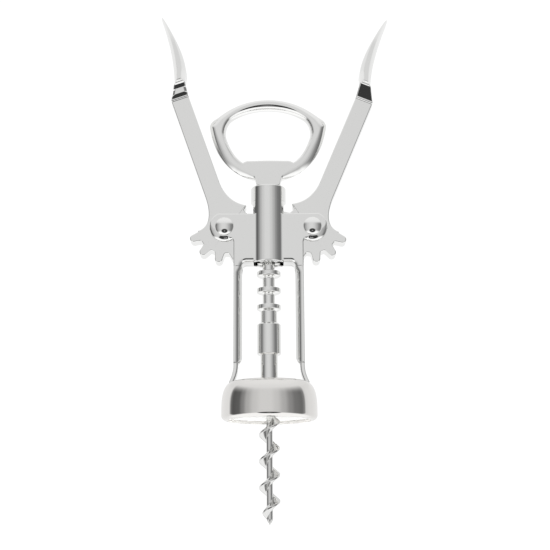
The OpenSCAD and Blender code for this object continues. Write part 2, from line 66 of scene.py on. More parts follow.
# %% Read the sizes from the frame
MM = 0.001


def box_mm(node):
    """Lowest and highest corner of a CAD node at rest, in millimetres."""
    low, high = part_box(node)
    return np.array(low) / MM, np.array(high) / MM


joint_place = {j["name"]: np.array(j["pos_m"]) / MM for j in frame["joints"] if "pos_m" in j}
pivot_x = joint_place["right_lever_swing"][0]
pivot_z = joint_place["right_lever_swing"][2]

frame_low, frame_high = box_mm("frame_front")
tube_r = -frame_low[1]
tube_top = frame_high[2]
ear_r = frame_high[0] - pivot_x

print(f"pivots at x = {pivot_x:.2f} and z = {pivot_z:.2f}, tube radius {tube_r:.2f}, ears {ear_r:.2f} mm")

# %% [markdown]
# ## Helpers for surfaces
#
# A chrome surface shows every kink, so outlines are made of straight runs, true arcs and quadratic
# curves, and sharp corners are replaced by small arcs. A shape is then either a grid of points (a
# section carried along a path) or a flat plate with a rounded rim.


# %% Curves in a plane
def arc(centre, radius, start, end, steps):
    """Points on a circle about centre, from angle start to angle end in degrees."""
    angle = np.radians(np.linspace(start, end, steps + 1))
    return np.stack([centre[0] + radius * np.cos(angle), centre[1] + radius * np.sin(angle)], -1)


def bend(start, pull, end, steps):
    """A quadratic curve: it leaves start towards pull and comes into end from pull."""
    t = np.linspace(0, 1, steps + 1)[:, None]
    return (1 - t) ** 2 * np.array(start) + 2 * t * (1 - t) * np.array(pull) + t**2 * np.array(end)


def soften(corners, radii, steps=6, closed=True):
    """Replaces each corner of a polygon by an arc of its radius, which touches both its sides.
    The arc begins and ends at radius times tan(half the turn) from the corner."""
    corners = np.asarray(corners, float)
    radii = np.broadcast_to(radii, len(corners))
    out = []
    for i, (p, r) in enumerate(zip(corners, radii)):
        if r == 0 or (not closed and i in (0, len(corners) - 1)):
            out.append(p[None])
            continue
        before, after = corners[i - 1], corners[(i + 1) % len(corners)]
        a, b = (before - p), (after - p)
        la, lb = np.linalg.norm(a), np.linalg.norm(b)
        a, b = a / la, b / lb
        half = 0.5 * math.acos(float(np.clip(a @ b, -1, 1)))
        reach = min(r / math.tan(half), 0.49 * la, 0.49 * lb)
        r_fit = reach * math.tan(half)
        middle = p + (a + b) / np.linalg.norm(a + b) * r_fit / math.sin(half)
        first, last = p + a * reach - middle, p + b * reach - middle
        turn = math.atan2(first[0] * last[1] - first[1] * last[0], first @ last)
        angle = math.atan2(first[1], first[0]) + turn * np.linspace(0, 1, steps + 1)
        out.append(middle + r_fit * np.stack([np.cos(angle), np.sin(angle)], -1))
    return np.concatenate(out)


def normals_of(line, closed):
    """Unit normals on the left of a line of points: each is the mean of its two sides' normals,
    lengthened so that both sides move by the same distance when the line is moved along it."""
    if closed:
        side = np.roll(line, -1, 0) - line
        side /= np.linalg.norm(side, axis=1, keepdims=True)
        before, after = np.roll(side, 1, 0), side
    else:
        side = np.diff(line, axis=0)
        side /= np.linalg.norm(side, axis=1, keepdims=True)
        before, after = np.vstack([side[:1], side]), np.vstack([side, side[-1:]])
    mean = before + after
    mean /= np.linalg.norm(mean, axis=1, keepdims=True)
    stretch = np.clip((mean * after).sum(1, keepdims=True), 0.5, 1)
    return np.stack([-mean[:, 1], mean[:, 0]], -1) / stretch


def mixed(a, b, share):
    """Straight mix of two arrays of points: a at share 0, b at share 1."""
    return a + (b - a) * share


def smooth_step(x, low, high):
    """0 below low, 1 above high, and a smooth S between them."""
    t = np.clip((x - low) / (high - low), 0, 1)
    return t * t * (3 - 2 * t)


# %% [markdown]
# ## From points to a piece
#
# `skin` joins a grid of points by four-sided faces, and `plate` gives a flat outline a thickness
# and a rounded rim. `make_piece` puts one or more closed shells into one mesh. The Weighted Normal
# modifier lets big flat faces stay flat and gives the whole change of direction to the rims.


# %% Shells of faces
def quads(index):
    """Four-sided faces between the neighbouring rows and columns of a table of point numbers."""
    around = np.stack([index[:-1, :-1], index[:-1, 1:], index[1:, 1:], index[1:, :-1]], -1)
    return around.reshape(-1, 4).tolist()


def skin(grid, ring=False):
    """A closed shell over a grid of points: each row closes on itself. The last row is joined to
    the first in a ring, and otherwise a flat face caps each end row."""
    rows, columns = grid.shape[:2]
    index = np.arange(rows * columns).reshape(rows, columns)
    caps = [] if ring else [index[0, ::-1].tolist(), index[-1].tolist()]
    if ring:
        index = np.vstack([index, index[:1]])
    index = np.hstack([index, index[:, :1]])
    return grid.reshape(-1, 3), quads(index) + caps


def level(section, z):
    """A section in (x, y) put at a height, which is one value or one for each point."""
    return np.column_stack([section, np.broadcast_to(z, len(section))])


def at_heights(x, y, z):
    """A grid of points from the x and y of sections, each at its own height z."""
    return np.stack([x, y, np.broadcast_to(z[:, None], x.shape)], -1)


def plate(chains, front, back, rims, back_rim=None, depth_share=1.0, collars=None, steps=8):
    """A flat plate in x and z between the depths front and back, with its rim rounded by quarters
    of ellipses: rims gives how far each point's rounding reaches inwards, and depth_share how deep
    it is as a share of that. The outline is a list of chains of (x, z) points, anticlockwise; the
    straight gap from the end of one chain to the start of the next is a plain cut face. collars
    turns the rounding into a shallow cone with a rounded outer edge, where it is 1."""
    quarter = np.linspace(0, math.pi / 2, steps + 1)
    inward_share, deep_share = 1 - np.sin(quarter), 1 - np.cos(quarter)
    cone_in = np.array([1, 0.93, 0.83, 0.6, 0.4, 0.27, 0.14, 0.04, 0])
    cone_deep = np.array([0, 0.012, 0.045, 0.14, 0.225, 0.3, 0.42, 0.6, 0.8])
    deepest = 0.92 * (back - front)
    verts, faces, starts = [], [], []
    count = 0
    for chain, rim, collar in zip(chains, rims, collars or [0.0] * len(chains)):
        rim = np.broadcast_to(rim, len(chain))[:, None]
        collar = np.broadcast_to(collar, len(chain))[:, None]
        behind = rim if back_rim is None else np.full_like(rim, back_rim)
        inset = np.hstack([rim * mixed(inward_share, cone_in, collar), behind * inward_share[::-1]])
        deep = np.minimum(rim * mixed(depth_share * deep_share, cone_deep, collar), deepest)
        depth = np.hstack([front + deep,
                           back - behind * (depth_share if back_rim is None else 1) * deep_share[::-1]])
        flat = chain[:, None, :] + normals_of(chain, False)[:, None, :] * inset[..., None]
        verts.append(np.stack([flat[..., 0], depth, flat[..., 1]], -1).reshape(-1, 3))
        index = count + np.arange(depth.size).reshape(depth.shape)
        starts.append(index)
        faces += quads(index)
        count += index.size
    faces.append([int(i) for index in starts for i in index[:, 0]])
    faces.append([int(i) for index in starts[::-1] for i in index[::-1, -1]])
    for k, index in enumerate(starts):
        following = starts[(k + 1) % len(starts)]
        faces.append(index[-1].tolist() + following[0][::-1].tolist())
    return np.concatenate(verts), faces


def lathe(profile, steps=144):
    """A closed profile of (radius, z) points turned about the z axis."""
    profile = np.asarray(profile)
    angle = np.linspace(0, 2 * math.pi, steps, endpoint=False)
    radius = profile[:, :1]
    return skin(at_heights(radius * np.cos(angle), radius * np.sin(angle), profile[:, 1]), ring=True)


def mirrored(shell, axis):
    """A shell mirrored across the plane through the origin at right angles to an axis (0, 1, 2)."""
    verts, faces = shell
    return verts * np.where(np.arange(3) == axis, -1, 1), [face[::-1] for face in faces]


SAME_POINT = 1e-8


def closed_mesh(name, shell):
    """One shell as a mesh in metres, with its doubled points merged and its faces outwards."""
    mesh = bpy.data.meshes.new(name)
    mesh.from_pydata((shell[0] * MM).tolist(), [], shell[1])
    work = bmesh.new()
    work.from_mesh(mesh)
    bmesh.ops.remove_doubles(work, verts=work.verts, dist=SAME_POINT)
    bmesh.ops.recalc_face_normals(work, faces=work.faces)
    work.to_mesh(mesh)
    work.free()
    return mesh


# Painted shade in the frame's recesses: the largest share of the dark colour and roughness mixed into the
# chrome, and the band in mm about the window's top where its underside gets it.
PAINTED_SHADE_MAX, EDGE_BAND_MM = 0.3, 2


def mesh_points(mesh, values, key):
    """One vector for each point of a mesh, as an array of rows."""
    flat = np.empty(len(mesh.vertices) * 3, np.float32)
    values.foreach_get(key, flat)
    return flat.reshape(-1, 3)


def painted_shade_share(mesh, window_z):
    """How much painted shade each point gets, from 0 to the largest share set above: on the
    underside at the window's top, whose normals point down, and on the inner part of the rolled
    legs, which begin 2 mm below it and whose normals turn to the z axis. Both are recesses where
    shade falls. The window's height is in millimetres."""
    place = mesh_points(mesh, mesh.vertices, "co")
    normal = mesh_points(mesh, mesh.vertex_normals, "vector")
    outward = place * [1, 1, 0]
    outward /= np.maximum(np.linalg.norm(outward, axis=1, keepdims=True), 1e-9)
    below_window = window_z - place[:, 2] / MM
    inner = smooth_step(-(normal * outward).sum(1), 0.35, 0.6) * (below_window > EDGE_BAND_MM)
    under = smooth_step(-normal[:, 2], 0.6, 0.9) * (np.abs(below_window) < EDGE_BAND_MM)
    return PAINTED_SHADE_MAX * np.maximum(inner, under)


SHARP = math.radians(38)


def make_piece(name, shells, material, body, slot, *nodes, flats=True, window_z=None):
    """Puts closed shells in millimetres side by side into one mesh in metres, and gives the piece
    its material, its body, its slot and the CAD nodes that it stands for. Edges sharper than 38
    degrees stay sharp. A pressed piece gets a mask for the shade painted into its recesses."""
    whole = bmesh.new()
    for k, shell in enumerate(shells):
        part = closed_mesh(f"{name}_{k}", shell)
        whole.from_mesh(part)
        bpy.data.meshes.remove(part)
    for edge in whole.edges:
        edge.smooth = edge.calc_face_angle(0) < SHARP
    mesh = bpy.data.meshes.new(name)
    whole.to_mesh(mesh)
    whole.free()
    # A pressed piece gets a point attribute: the mask of the shade painted into its recesses.
    if window_z is not None:
        mesh.attributes.new("painted_recess_shade", "FLOAT", "POINT").data.foreach_set(
            "value", painted_shade_share(mesh, window_z).astype(np.float32))
    mesh.polygons.foreach_set("use_smooth", np.ones(len(mesh.polygons), bool))
    mesh.materials.append(material)
    piece = bpy.data.objects.new(name, mesh)
    bpy.context.scene.collection.objects.link(piece)
    if flats:
        even = piece.modifiers.new("flat_faces_stay_flat", "WEIGHTED_NORMAL")
        even.mode = "FACE_AREA"
        even.keep_sharp = True
    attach(piece, body)
    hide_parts(*nodes)
    print(f"{name}: {len(mesh.vertices)} points, {len(mesh.polygons)} faces")
    return piece


# %% [markdown]
# ## Finishes
#
# Plated metal is a Principled shader with metallic 1 and a low roughness. What tells the castings
# from the turned and the stamped parts is in their relief: castings are very slightly wavy under
# the plating, turned parts keep fine tool rings, and stamped sheet is the smoothest. Each has a
# little unevenness in its roughness, as handled chrome has.


# %% Chrome and the other materials
def add_node(tree, kind, inputs, **settings):
    """A new shader node with its settings. Each of the inputs, by name or number, gets a value or
    a link from another node's output."""
    node = tree.nodes.new(f"ShaderNode{kind}")
    for key, value in settings.items():
        setattr(node, key, value)
    for key, value in inputs.items():
        if isinstance(value, bpy.types.NodeSocket):
            tree.links.new(value, node.inputs[key])
        else:
            node.inputs[key].default_value = value
    return node


def shader_of(material):
    return material.node_tree.nodes["Principled BSDF"]


def new_material(name, colour, roughness, metallic):
    """A material that is one Principled shader."""
    material = bpy.data.materials.new(name)
    material.use_nodes = True
    shader = shader_of(material)
    shader.inputs["Base Color"].default_value = (*colour, 1)
    shader.inputs["Roughness"].default_value = roughness
    shader.inputs["Metallic"].default_value = metallic
    return material


def uneven_roughness(material, low, high, scale):
    """Roughness between low and high, in soft patches that are 1 / scale metres apart. Gives back
    the place on the object, for the next texture."""
    tree = material.node_tree
    place = add_node(tree, "TexCoord", {}).outputs["Object"]
    patches = add_node(tree, "TexNoise", {"Vector": place, "Scale": scale, "Detail": 4})
    spread = add_node(tree, "MapRange", {"Value": patches.outputs["Fac"], "From Min": 0.35,
                                         "From Max": 0.7, "To Min": low, "To Max": high})
    tree.links.new(spread.outputs["Result"], shader_of(material).inputs["Roughness"])
    return place


def relief(material, texture, strength, depth):
    """Bump from a texture, depth metres deep."""
    tree = material.node_tree
    bump = add_node(tree, "Bump", {"Height": texture.outputs["Fac"], "Strength": strength,
                                   "Distance": depth})
    tree.links.new(bump.outputs["Normal"], shader_of(material).inputs["Normal"])


COLOUR_A, COLOUR_B, COLOUR_OUT = 6, 7, 2
NUMBER_A, NUMBER_B = 2, 3


def paint_recess_shade(material, colour, roughness):
    """Paints shade into the recesses of a pressing: the point attribute made in make_piece mixes the
    polished colour and roughness with the given dark colour, which is painted shade, and roughness."""
    tree, shader = material.node_tree, shader_of(material)
    polished = shader.inputs["Base Color"].default_value
    smooth = shader.inputs["Roughness"].links[0].from_socket
    share = add_node(tree, "Attribute", {}, attribute_name="painted_recess_shade").outputs["Fac"]
    tint = add_node(tree, "Mix", {"Factor": share, COLOUR_A: polished, COLOUR_B: (*colour, 1)},
                    data_type="RGBA")
    rough = add_node(tree, "Mix", {"Factor": share, NUMBER_A: smooth, NUMBER_B: roughness})
    tree.links.new(tint.outputs[COLOUR_OUT], shader.inputs["Base Color"])
    tree.links.new(rough.outputs[0], shader.inputs["Roughness"])


CHROME = (0.93, 0.93, 0.92)
WAVES_AT_SCALE_1 = 20


def chrome(name, wave_mm, wave_depth, rough=(0.03, 0.09), tool_rings_mm=None, colour=CHROME):
    """Chrome plate over waves wave_mm long, or over turned rings that are tool_rings_mm apart."""
    material = new_material(name, colour, rough[0], 1)
    place = uneven_roughness(material, *rough, scale=260)
    if tool_rings_mm:
        texture = add_node(material.node_tree, "TexWave", {
            "Vector": place, "Scale": 1 / (tool_rings_mm * MM) / WAVES_AT_SCALE_1, "Distortion": 0.4},
            wave_type="BANDS", bands_direction="Z")
    else:
        texture = add_node(material.node_tree, "TexNoise", {
            "Vector": place, "Scale": 1 / (wave_mm * MM), "Detail": 1.5})
    relief(material, texture, 0.25 if tool_rings_mm else 0.5, wave_depth * MM)
    return material


cast_chrome = chrome("cast_chrome", wave_mm=7, wave_depth=0.05)
frame_chrome = chrome("frame_chrome", wave_mm=11, wave_depth=0.03)
# Painted shade: the inner side of the rolled legs and the underside of the window's top edge get a dark
# grey, 0.34, mixed into the chrome, with a higher roughness of 0.42.
paint_recess_shade(frame_chrome, (0.34, 0.34, 0.335), roughness=0.42)
bell_chrome = chrome("bell_chrome", wave_mm=9, wave_depth=0.02, colour=(0.87, 0.855, 0.835))
turned_chrome = chrome("turned_chrome", wave_mm=5, wave_depth=0.01, tool_rings_mm=0.35)
worm_steel = chrome("worm_steel", wave_mm=2.2, wave_depth=0.03, rough=(0.10, 0.22),
                    colour=(0.78, 0.78, 0.77))

pin_steel = new_material("pin_steel", (0.56, 0.56, 0.55), 0.35, 1)
uneven_roughness(pin_steel, 0.28, 0.42, scale=900)

liner_white = new_material("liner_white", (0.88, 0.88, 0.87), 0.4, 0)
liner_place = uneven_roughness(liner_white, 0.35, 0.5, scale=500)
liner_grain = add_node(liner_white.node_tree, "TexNoise", {"Vector": liner_place, "Scale": 2500})
relief(liner_white, liner_grain, 0.3, 0.02 * MM)

print("materials:", [m.name for m in (cast_chrome, frame_chrome, bell_chrome, turned_chrome, worm_steel)])

# %% [markdown]
# ## The frame
#
# Each half of the frame is one piece of sheet: two flat wings with round ears for the rivets, half
# of the tube between them, and two legs. A leg leaves the wing as a flat bar. Its outer edge is then
# bent back as a side wall, and its front rolls back towards the window until it meets the other
# half's. Flat wings are `plate` shells. The tube and the legs are sections carried down the z axis,
# and the sections change on the way, which is why they are grids and not extrusions. A thin strip
# closes the window's edge between the two plates.

# %% Sizes of the stamped sheet
sheet_t = 1.2
rivet_head_h = 1.9
plate_front = box_mm("left_pivot_rivet")[0][1] + rivet_head_h
plate_back = plate_front + sheet_t
plate_half_w = 13.05
plate_top = pivot_z + ear_r - 0.6
window_top = 58.5
window_corner_r = 1.7
leg_w = 3.1
leg_in_x = plate_half_w - leg_w
leg_top = window_top - window_corner_r
outer_rim_r, rim_r, back_rim_r = 0.45, 1.9, 0.12
rim_depth_share = 0.8
tube_end_r = 0.5
tube_in_r = tube_r - sheet_t
slot_top = 82.2
seam_x = 5.6
ear_collar_w = 2.05
fillet_r = 1.4

print(f"plates from y = {plate_front:.2f} to {plate_back:.2f} mm")
print(f"legs {leg_in_x:.2f} to {plate_half_w:.2f} mm from the middle")

# %% One flat wing with its ear
ear = np.array([pivot_x, pivot_z])
ear_low_angle = -math.degrees(math.acos((pivot_x - plate_half_w) / ear_r))
ear_top_angle = math.degrees(math.asin((plate_top - pivot_z) / ear_r))
ear_low = arc(ear, ear_r, -180 - ear_low_angle + 8, ear_top_angle, 40)
wing_outside = np.concatenate([
    [[plate_half_w, leg_top], [plate_half_w, ear_low[0][1] - 1.2]],
    bend([plate_half_w, ear_low[0][1] - 1.2], [plate_half_w, ear_low[0][1] - 0.2], ear_low[0], 5)[1:-1],
    ear_low,
    bend(ear_low[-1], [ear_low[-1][0] - 0.5, plate_top + 0.12], [ear_low[-1][0] - 1.6, plate_top], 4)[1:],
    [[seam_x, plate_top]]])
wing_inside = np.concatenate([
    [[seam_x, window_top]],
    arc([leg_in_x - window_corner_r, window_top - window_corner_r], window_corner_r, 90, 0, 8)])
ear_z = np.clip((ear[1] + 1.5 - wing_outside[:, 1]) / 3, 0, 1)
on_ear = smooth_step(wing_outside[:, 0], plate_half_w, plate_half_w + 2.2) * ear_z
wing_rims = [mixed(outer_rim_r, ear_collar_w, on_ear), rim_r]
right_wing = plate([wing_outside, wing_inside], plate_front, plate_back, wing_rims, back_rim=back_rim_r,
                   depth_share=rim_depth_share, collars=[on_ear, 0.0])
print("one wing:", len(right_wing[0]), "points")

# %% The rolled edge of the window
edge_t = 0.4
edge_proud = 0.02


def rolled_edge():
    """The window's edge turned back to the middle plane: the inside chain of the wing, moved back
    in rows from just behind the plate's rim to y = 0, and once more at the edge's thickness."""
    rows_y = np.array([plate_front + 1.0, plate_front + 1.4, 0.5 * plate_front, 0.0])
    normal = normals_of(wing_inside, False)
    under, over = wing_inside - edge_proud * normal, wing_inside + edge_t * normal
    ring = [(under, y) for y in rows_y] + [(over, y) for y in rows_y[::-1]]
    return skin(np.stack([np.column_stack([line[:, 0], np.full(len(line), y), line[:, 1]])
                          for line, y in ring], 1))


right_edge = rolled_edge()


# %% The half tube: a section that loses its wings at their top and opens to a half circle above
def tube_section(kind, round_steps=40):
    """Closed section of the half tube in (x, y), in three kinds with the same count of points:
    "winged" has the hollow fillets and the first bit of both wings, "slotted" is cut at the
    plates' inner face, and "whole" is half of a ring."""
    if kind == "winged":
        fillet_x = math.sqrt((tube_r + fillet_r) ** 2 - (-plate_front + fillet_r) ** 2)
        centre = np.array([fillet_x, plate_front - fillet_r])
        touch = math.degrees(math.atan2(centre[1], centre[0]))
        hollow = arc(centre, fillet_r, 90, 180 + touch, 8)
        side = np.concatenate([[[seam_x, plate_front]], hollow])
        outside = np.concatenate([side, arc((0, 0), tube_r, touch, -180 - touch, round_steps)[1:-1],
                                  (side * [-1, 1])[::-1]])
        cut = math.degrees(math.asin(plate_back / tube_in_r))
        inside = np.concatenate([[[-seam_x, plate_back]],
                                 arc((0, 0), tube_in_r, -180 - cut, cut, round_steps),
                                 [[seam_x, plate_back]]])
        return np.concatenate([outside, inside])
    outer_cut = math.degrees(math.asin(plate_back / tube_r)) if kind == "slotted" else 0
    inner_cut = math.degrees(math.asin(plate_back / tube_in_r)) if kind == "slotted" else 0
    outside = arc((0, 0), tube_r, outer_cut, -180 - outer_cut, round_steps + 18)
    inner = arc((0, 0), tube_in_r, -180 - inner_cut, inner_cut, round_steps)
    return np.concatenate([outside, outside[-1:], inner, outside[:1]])


def shrunk(section, distance):
    """A closed section of the half tube with its wall thinned from both sides by distance."""
    radius = np.linalg.norm(section, axis=1, keepdims=True)
    middle = 0.5 * (tube_r + tube_in_r)
    toward = np.sign(middle - radius) * distance
    return section * (1 + toward / radius)


winged, slotted, whole = (tube_section(kind) for kind in ("winged", "slotted", "whole"))
wing_end_h = 0.3
end_angle = np.linspace(0, math.pi / 2, 6)
end_inset, end_lift = tube_end_r * (1 - np.sin(end_angle)), tube_end_r * (1 - np.cos(end_angle))
tube_rows = (
    [(shrunk(winged, d), window_top + h) for d, h in zip(end_inset, end_lift)]
    + [(winged, plate_top - wing_end_h)]
    + [(mixed(winged, slotted, s), plate_top - wing_end_h * (1 - math.sqrt(1 - (1 - s) ** 2)))
       for s in (0.08, 0.3, 0.6, 1)]
    + [(slotted, slot_top), (mixed(slotted, whole, 0.5), slot_top + 0.02), (whole, slot_top + 0.04)]
    + [(shrunk(whole, d), tube_top - h) for d, h in zip(end_inset[::-1], end_lift[::-1])])
tube_grid = np.stack([level(section, z) for section, z in tube_rows])
half_tube = skin(tube_grid)
print("half tube:", tube_grid.shape)

# %% One leg, from the flat wing through the rolled channel to the tongue in the bell
tongue_t = 1.6
tongue_depth = 3.4
tongue_chamfer = 0.35
strip_end = 21.6
strip_slant = 1.7
bell_top = box_mm("bell")[1][2]
foot_flare = 1.6
foot_top = bell_top - 0.3
flare_h = 6.2
tongue_end = frame_low[2]
roll_h = 2.6
leg_flat_w = 0.35
leg_wall = 0.7
leg_edge_r = 0.2


def leg_section(roll, arc_steps=16):
    """Closed section of a leg in (x, y), from the outer side wall over the front to the window's
    side. roll 0 is the flat bar that leaves the wing. roll 1 is a side wall and a front that rolls
    back towards the window in a quarter of an ellipse, down to the middle plane."""
    reach_x = mixed(rim_r, leg_w - leg_flat_w, roll)
    reach_y = mixed(rim_r * rim_depth_share, -plate_front, roll)
    end_y = mixed(plate_back, 0.0, roll)
    wall = mixed(sheet_t - 0.1, leg_wall, roll)
    inner_x, inner_y = max(reach_x - wall, 0.05), max(reach_y - wall, 0.05)
    t = np.radians(np.linspace(0, 90, arc_steps + 1))
    rolled = np.stack([leg_in_x + reach_x * (1 - np.sin(t)), plate_front + reach_y * (1 - np.cos(t))], -1)
    inside = np.stack([leg_in_x + wall + inner_x * (1 - np.sin(t)),
                       plate_front + wall + inner_y * (1 - np.cos(t))], -1)
    wall_x = plate_half_w - leg_wall
    inside[:, 0] = np.minimum(inside[:, 0], wall_x - 0.05)
    rolled[:, 1], inside[:, 1] = np.minimum(rolled[:, 1], end_y), np.minimum(inside[:, 1], end_y)
    outside = [[plate_half_w, end_y], [plate_half_w, plate_front + leg_edge_r],
               [plate_half_w - 0.3 * leg_edge_r, plate_front + 0.3 * leg_edge_r],
               [plate_half_w - leg_edge_r, plate_front]]
    wall_inside = [[wall_x, plate_front + wall + 0.1], [wall_x, end_y]]
    return np.concatenate([outside, rolled, inside[::-1], wall_inside])


def tongue_section(count):
    """Closed section of the tongue with a count of points: only the side wall is left, as a bar.
    Four points make its outer side and its chamfer. The others run along the flat front to the
    inner side, at 6 mm for the whole count, and go back along it to the middle plane."""
    run = np.linspace(0, 1, count - 4)
    front_share = 0.12
    outside = [[plate_half_w, 0.0], [plate_half_w, tongue_chamfer - tongue_depth],
               [plate_half_w - 0.1, 0.1 - tongue_depth], [plate_half_w - tongue_chamfer, -tongue_depth]]
    inside_x = np.maximum(plate_half_w - tongue_chamfer - 0.1 - 6 * run, plate_half_w - tongue_t)
    inside_y = -tongue_depth * np.clip(1 - (run - front_share) / (1 - front_share), 0, 1)
    return np.concatenate([outside, np.stack([inside_x, inside_y], -1)])


channel = leg_section(1.0)
tongue = tongue_section(len(channel))
slant = strip_slant * (0.5 - np.clip((channel[:, 0] - leg_in_x) / (leg_w - tongue_t), 0, 1))
cut_z = strip_end + slant
leg_rows = [level(leg_section(smooth_step(s, 0, 1)), leg_top - roll_h * s) for s in np.linspace(0, 1, 12)]
leg_rows += [level(channel, cut_z + 0.3), level(mixed(channel, tongue, 0.06), cut_z + 0.08),
             level(mixed(channel, tongue, 0.3), cut_z), level(tongue, strip_end + slant * 0.6 - 0.15)]
leg_rows += [level(tongue + [foot_flare * s**2, 0], foot_top + flare_h * (1 - s))
             for s in np.linspace(0, 1, 14)]
leg_rows.append(level(tongue + [foot_flare, 0], tongue_end))
right_leg = skin(np.stack(leg_rows))
print("one leg:", len(leg_rows), "sections of", len(channel), "points")

# %% Both halves of the frame
right_half = [right_wing, right_edge, right_leg]
half_frame = [half_tube, *right_half, *(mirrored(shell, 0) for shell in right_half)]
back_half = [mirrored(shell, 1) for shell in half_frame]
for name, shells in (("front", half_frame), ("back", back_half)):
    make_piece(f"{name}_frame", shells, frame_chrome, "frame", "frame_chrome", f"frame_{name}",
               window_z=window_top)

# %% [markdown]
# ## Rivets
#
# A rivet's head is a shallow dome pressed by a cup-shaped tool, which rounds its rim. It is turned
# about its own axis, then laid along y.


# %% The two pivot rivets
def rivet_shell(side):
    """A domed profile turned about y: the dome is an arc of one sphere, with a small rounded rim.
    The two dome centres are closed by flat caps in place of the faces that would join them."""
    low, high = box_mm("left_pivot_rivet")
    head_r = (high[2] - low[2]) / 2
    dome_h = 0.68 * rivet_head_h
    around = 96
    dome_r = (head_r**2 + dome_h**2) / (2 * dome_h)
    half_angle = math.degrees(math.asin(head_r / dome_r))
    face = -plate_front
    dome = arc([0, face + rivet_head_h - dome_r], dome_r, 90, 90 - half_angle + 3, 36)
    dome[0, 0] = 0.02
    rim = bend(dome[-1], [head_r, dome[-1][1] - 0.12], [head_r, face - 0.02], 5)[1:]
    upper = np.concatenate([dome, rim])
    profile = np.concatenate([upper, (upper * [1, -1])[::-1]])
    verts, faces = lathe(profile, around)
    last_row = len(verts) - around
    faces = [face for face in faces if not (min(face) < around and max(face) >= last_row)]
    faces += [list(range(around)), list(range(last_row, len(verts)))]
    turned = np.stack([verts[:, 0] + side * pivot_x, verts[:, 2], verts[:, 1] + pivot_z], -1)
    return turned, faces


for name, side in (("left", -1), ("right", 1)):
    make_piece(f"{name}_rivet", [rivet_shell(side)], turned_chrome, "frame", "turned_chrome",
               f"{name}_pivot_rivet", flats=False)

# %% [markdown]
# ## The bell and its liner
#
# The bell is pressed from sheet: a flat top, a full shoulder, a straight side and a rolled lower
# edge. The shoulder is a quarter of a superellipse, which is fuller than a circle. A white plastic
# ring inside the mouth keeps the glass from being scratched.

# %% Bell and liner
bell_r = box_mm("bell")[1][0]
bell_wall = 1.1
bell_flat_r = 12
bell_side_h = 3.0
bell_edge_r = 1.8
rim_w = 0.5
rim_lip_h = 1.2
hole_r = box_mm("worm")[1][0] + 0.4
mouth_r = bell_r - bell_edge_r - rim_w
fullness = 0.72


def shoulder(flat_r, low_z, width, height, steps=36):
    """A quarter of a superellipse from the flat top down to the side: both the sine and the
    cosine are raised to the same power below 1, which fills the corner."""
    t = np.radians(np.linspace(0, 90, steps + 1))
    return np.stack([flat_r + width * np.sin(t) ** fullness, low_z + height * np.cos(t) ** fullness], -1)


bell_ceiling = bell_top - bell_wall
bell_outside = np.concatenate([
    [[hole_r, bell_top]], shoulder(bell_flat_r, bell_side_h, bell_r - bell_flat_r, bell_top - bell_side_h),
    arc([bell_r - bell_edge_r, bell_edge_r], bell_edge_r, 0, -90, 14)])
bell_inside = np.concatenate([
    soften([[mouth_r, 0], [mouth_r, rim_lip_h], [bell_r - bell_wall, rim_lip_h], [bell_r - bell_wall, 3]],
           [0, 0.2, 0.1, 0], 4, closed=False),
    shoulder(bell_flat_r - bell_wall, bell_side_h - bell_wall, bell_r - bell_flat_r,
             bell_ceiling - bell_side_h + bell_wall)[::-1],
    [[hole_r, bell_ceiling]]])
make_piece("bell_shell", [lathe(np.concatenate([bell_outside, bell_inside]), 192)], bell_chrome, "frame",
           "cast_chrome", "bell")

liner_h = 5
liner_profile = soften([[mouth_r, rim_lip_h], [bell_r - bell_wall, rim_lip_h],
                        [bell_r - bell_wall, rim_lip_h + liner_h], [mouth_r, rim_lip_h + liner_h]], 0.25, 4)
make_piece("bell_ring", [lathe(liner_profile, 160)], liner_white, "frame", "liner_white", "bell_liner")

# %% [markdown]
# ## The levers
#
# A lever starts as a flat bar with gear teeth around its pivot, then goes through a short neck into
# a grip that is thin seen from the front and wide seen from the side. The left neck has two steps
# with a flat between them, and the right one rises in one slope. The gear is a `plate` that is cut
# square across the arm, and from that cut on a changing section is carried along the arm to the
# tip. Both are drawn with the arm along +z and are then leaned about the pivot, the right one as a
# mirror image that leans a little further, as the play of the teeth lets it in the photo.

# %% Sizes of the levers
lever_t = 6.2
lever_rim_r = 0.42
lever_rim_depth = rim_depth_share * lever_rim_r
arm_lean = 21
arm_play = 1.8
arm_half = 3.45
arm_shift = 0.5
arm_end = 55.4
arm_cut = 30
grip_tip = 90.3
tip_x = 4.5
tooth_tip_r, tooth_root_r = 13.7, 10.1
tooth_root_w, tooth_tip_w = 3.7, 2.9
tooth_step = 30
rack_pitch = 6.37
rack_low = 41.65
mesh_r = rack_pitch / math.radians(tooth_step)
tooth_phase = math.degrees((rack_low - rack_pitch / 2 + 5 * rack_pitch - pivot_z) / mesh_r)
first_tooth, last_tooth = -5, 1
neck_inner, neck_outer = [4.3, 58.6], [0.1, 60.3]
heel, belly = [6.2, 64.4], [8.6, 73.0]
grip_hollow = [4.3, 72.5]
widest_z = 73.5


# %% The gear's outline
def polar(radius, angle):
    """Point at a radius from the pivot and an angle in degrees above the tube's side."""
    return [radius * math.cos(math.radians(angle)), radius * math.sin(math.radians(angle))]


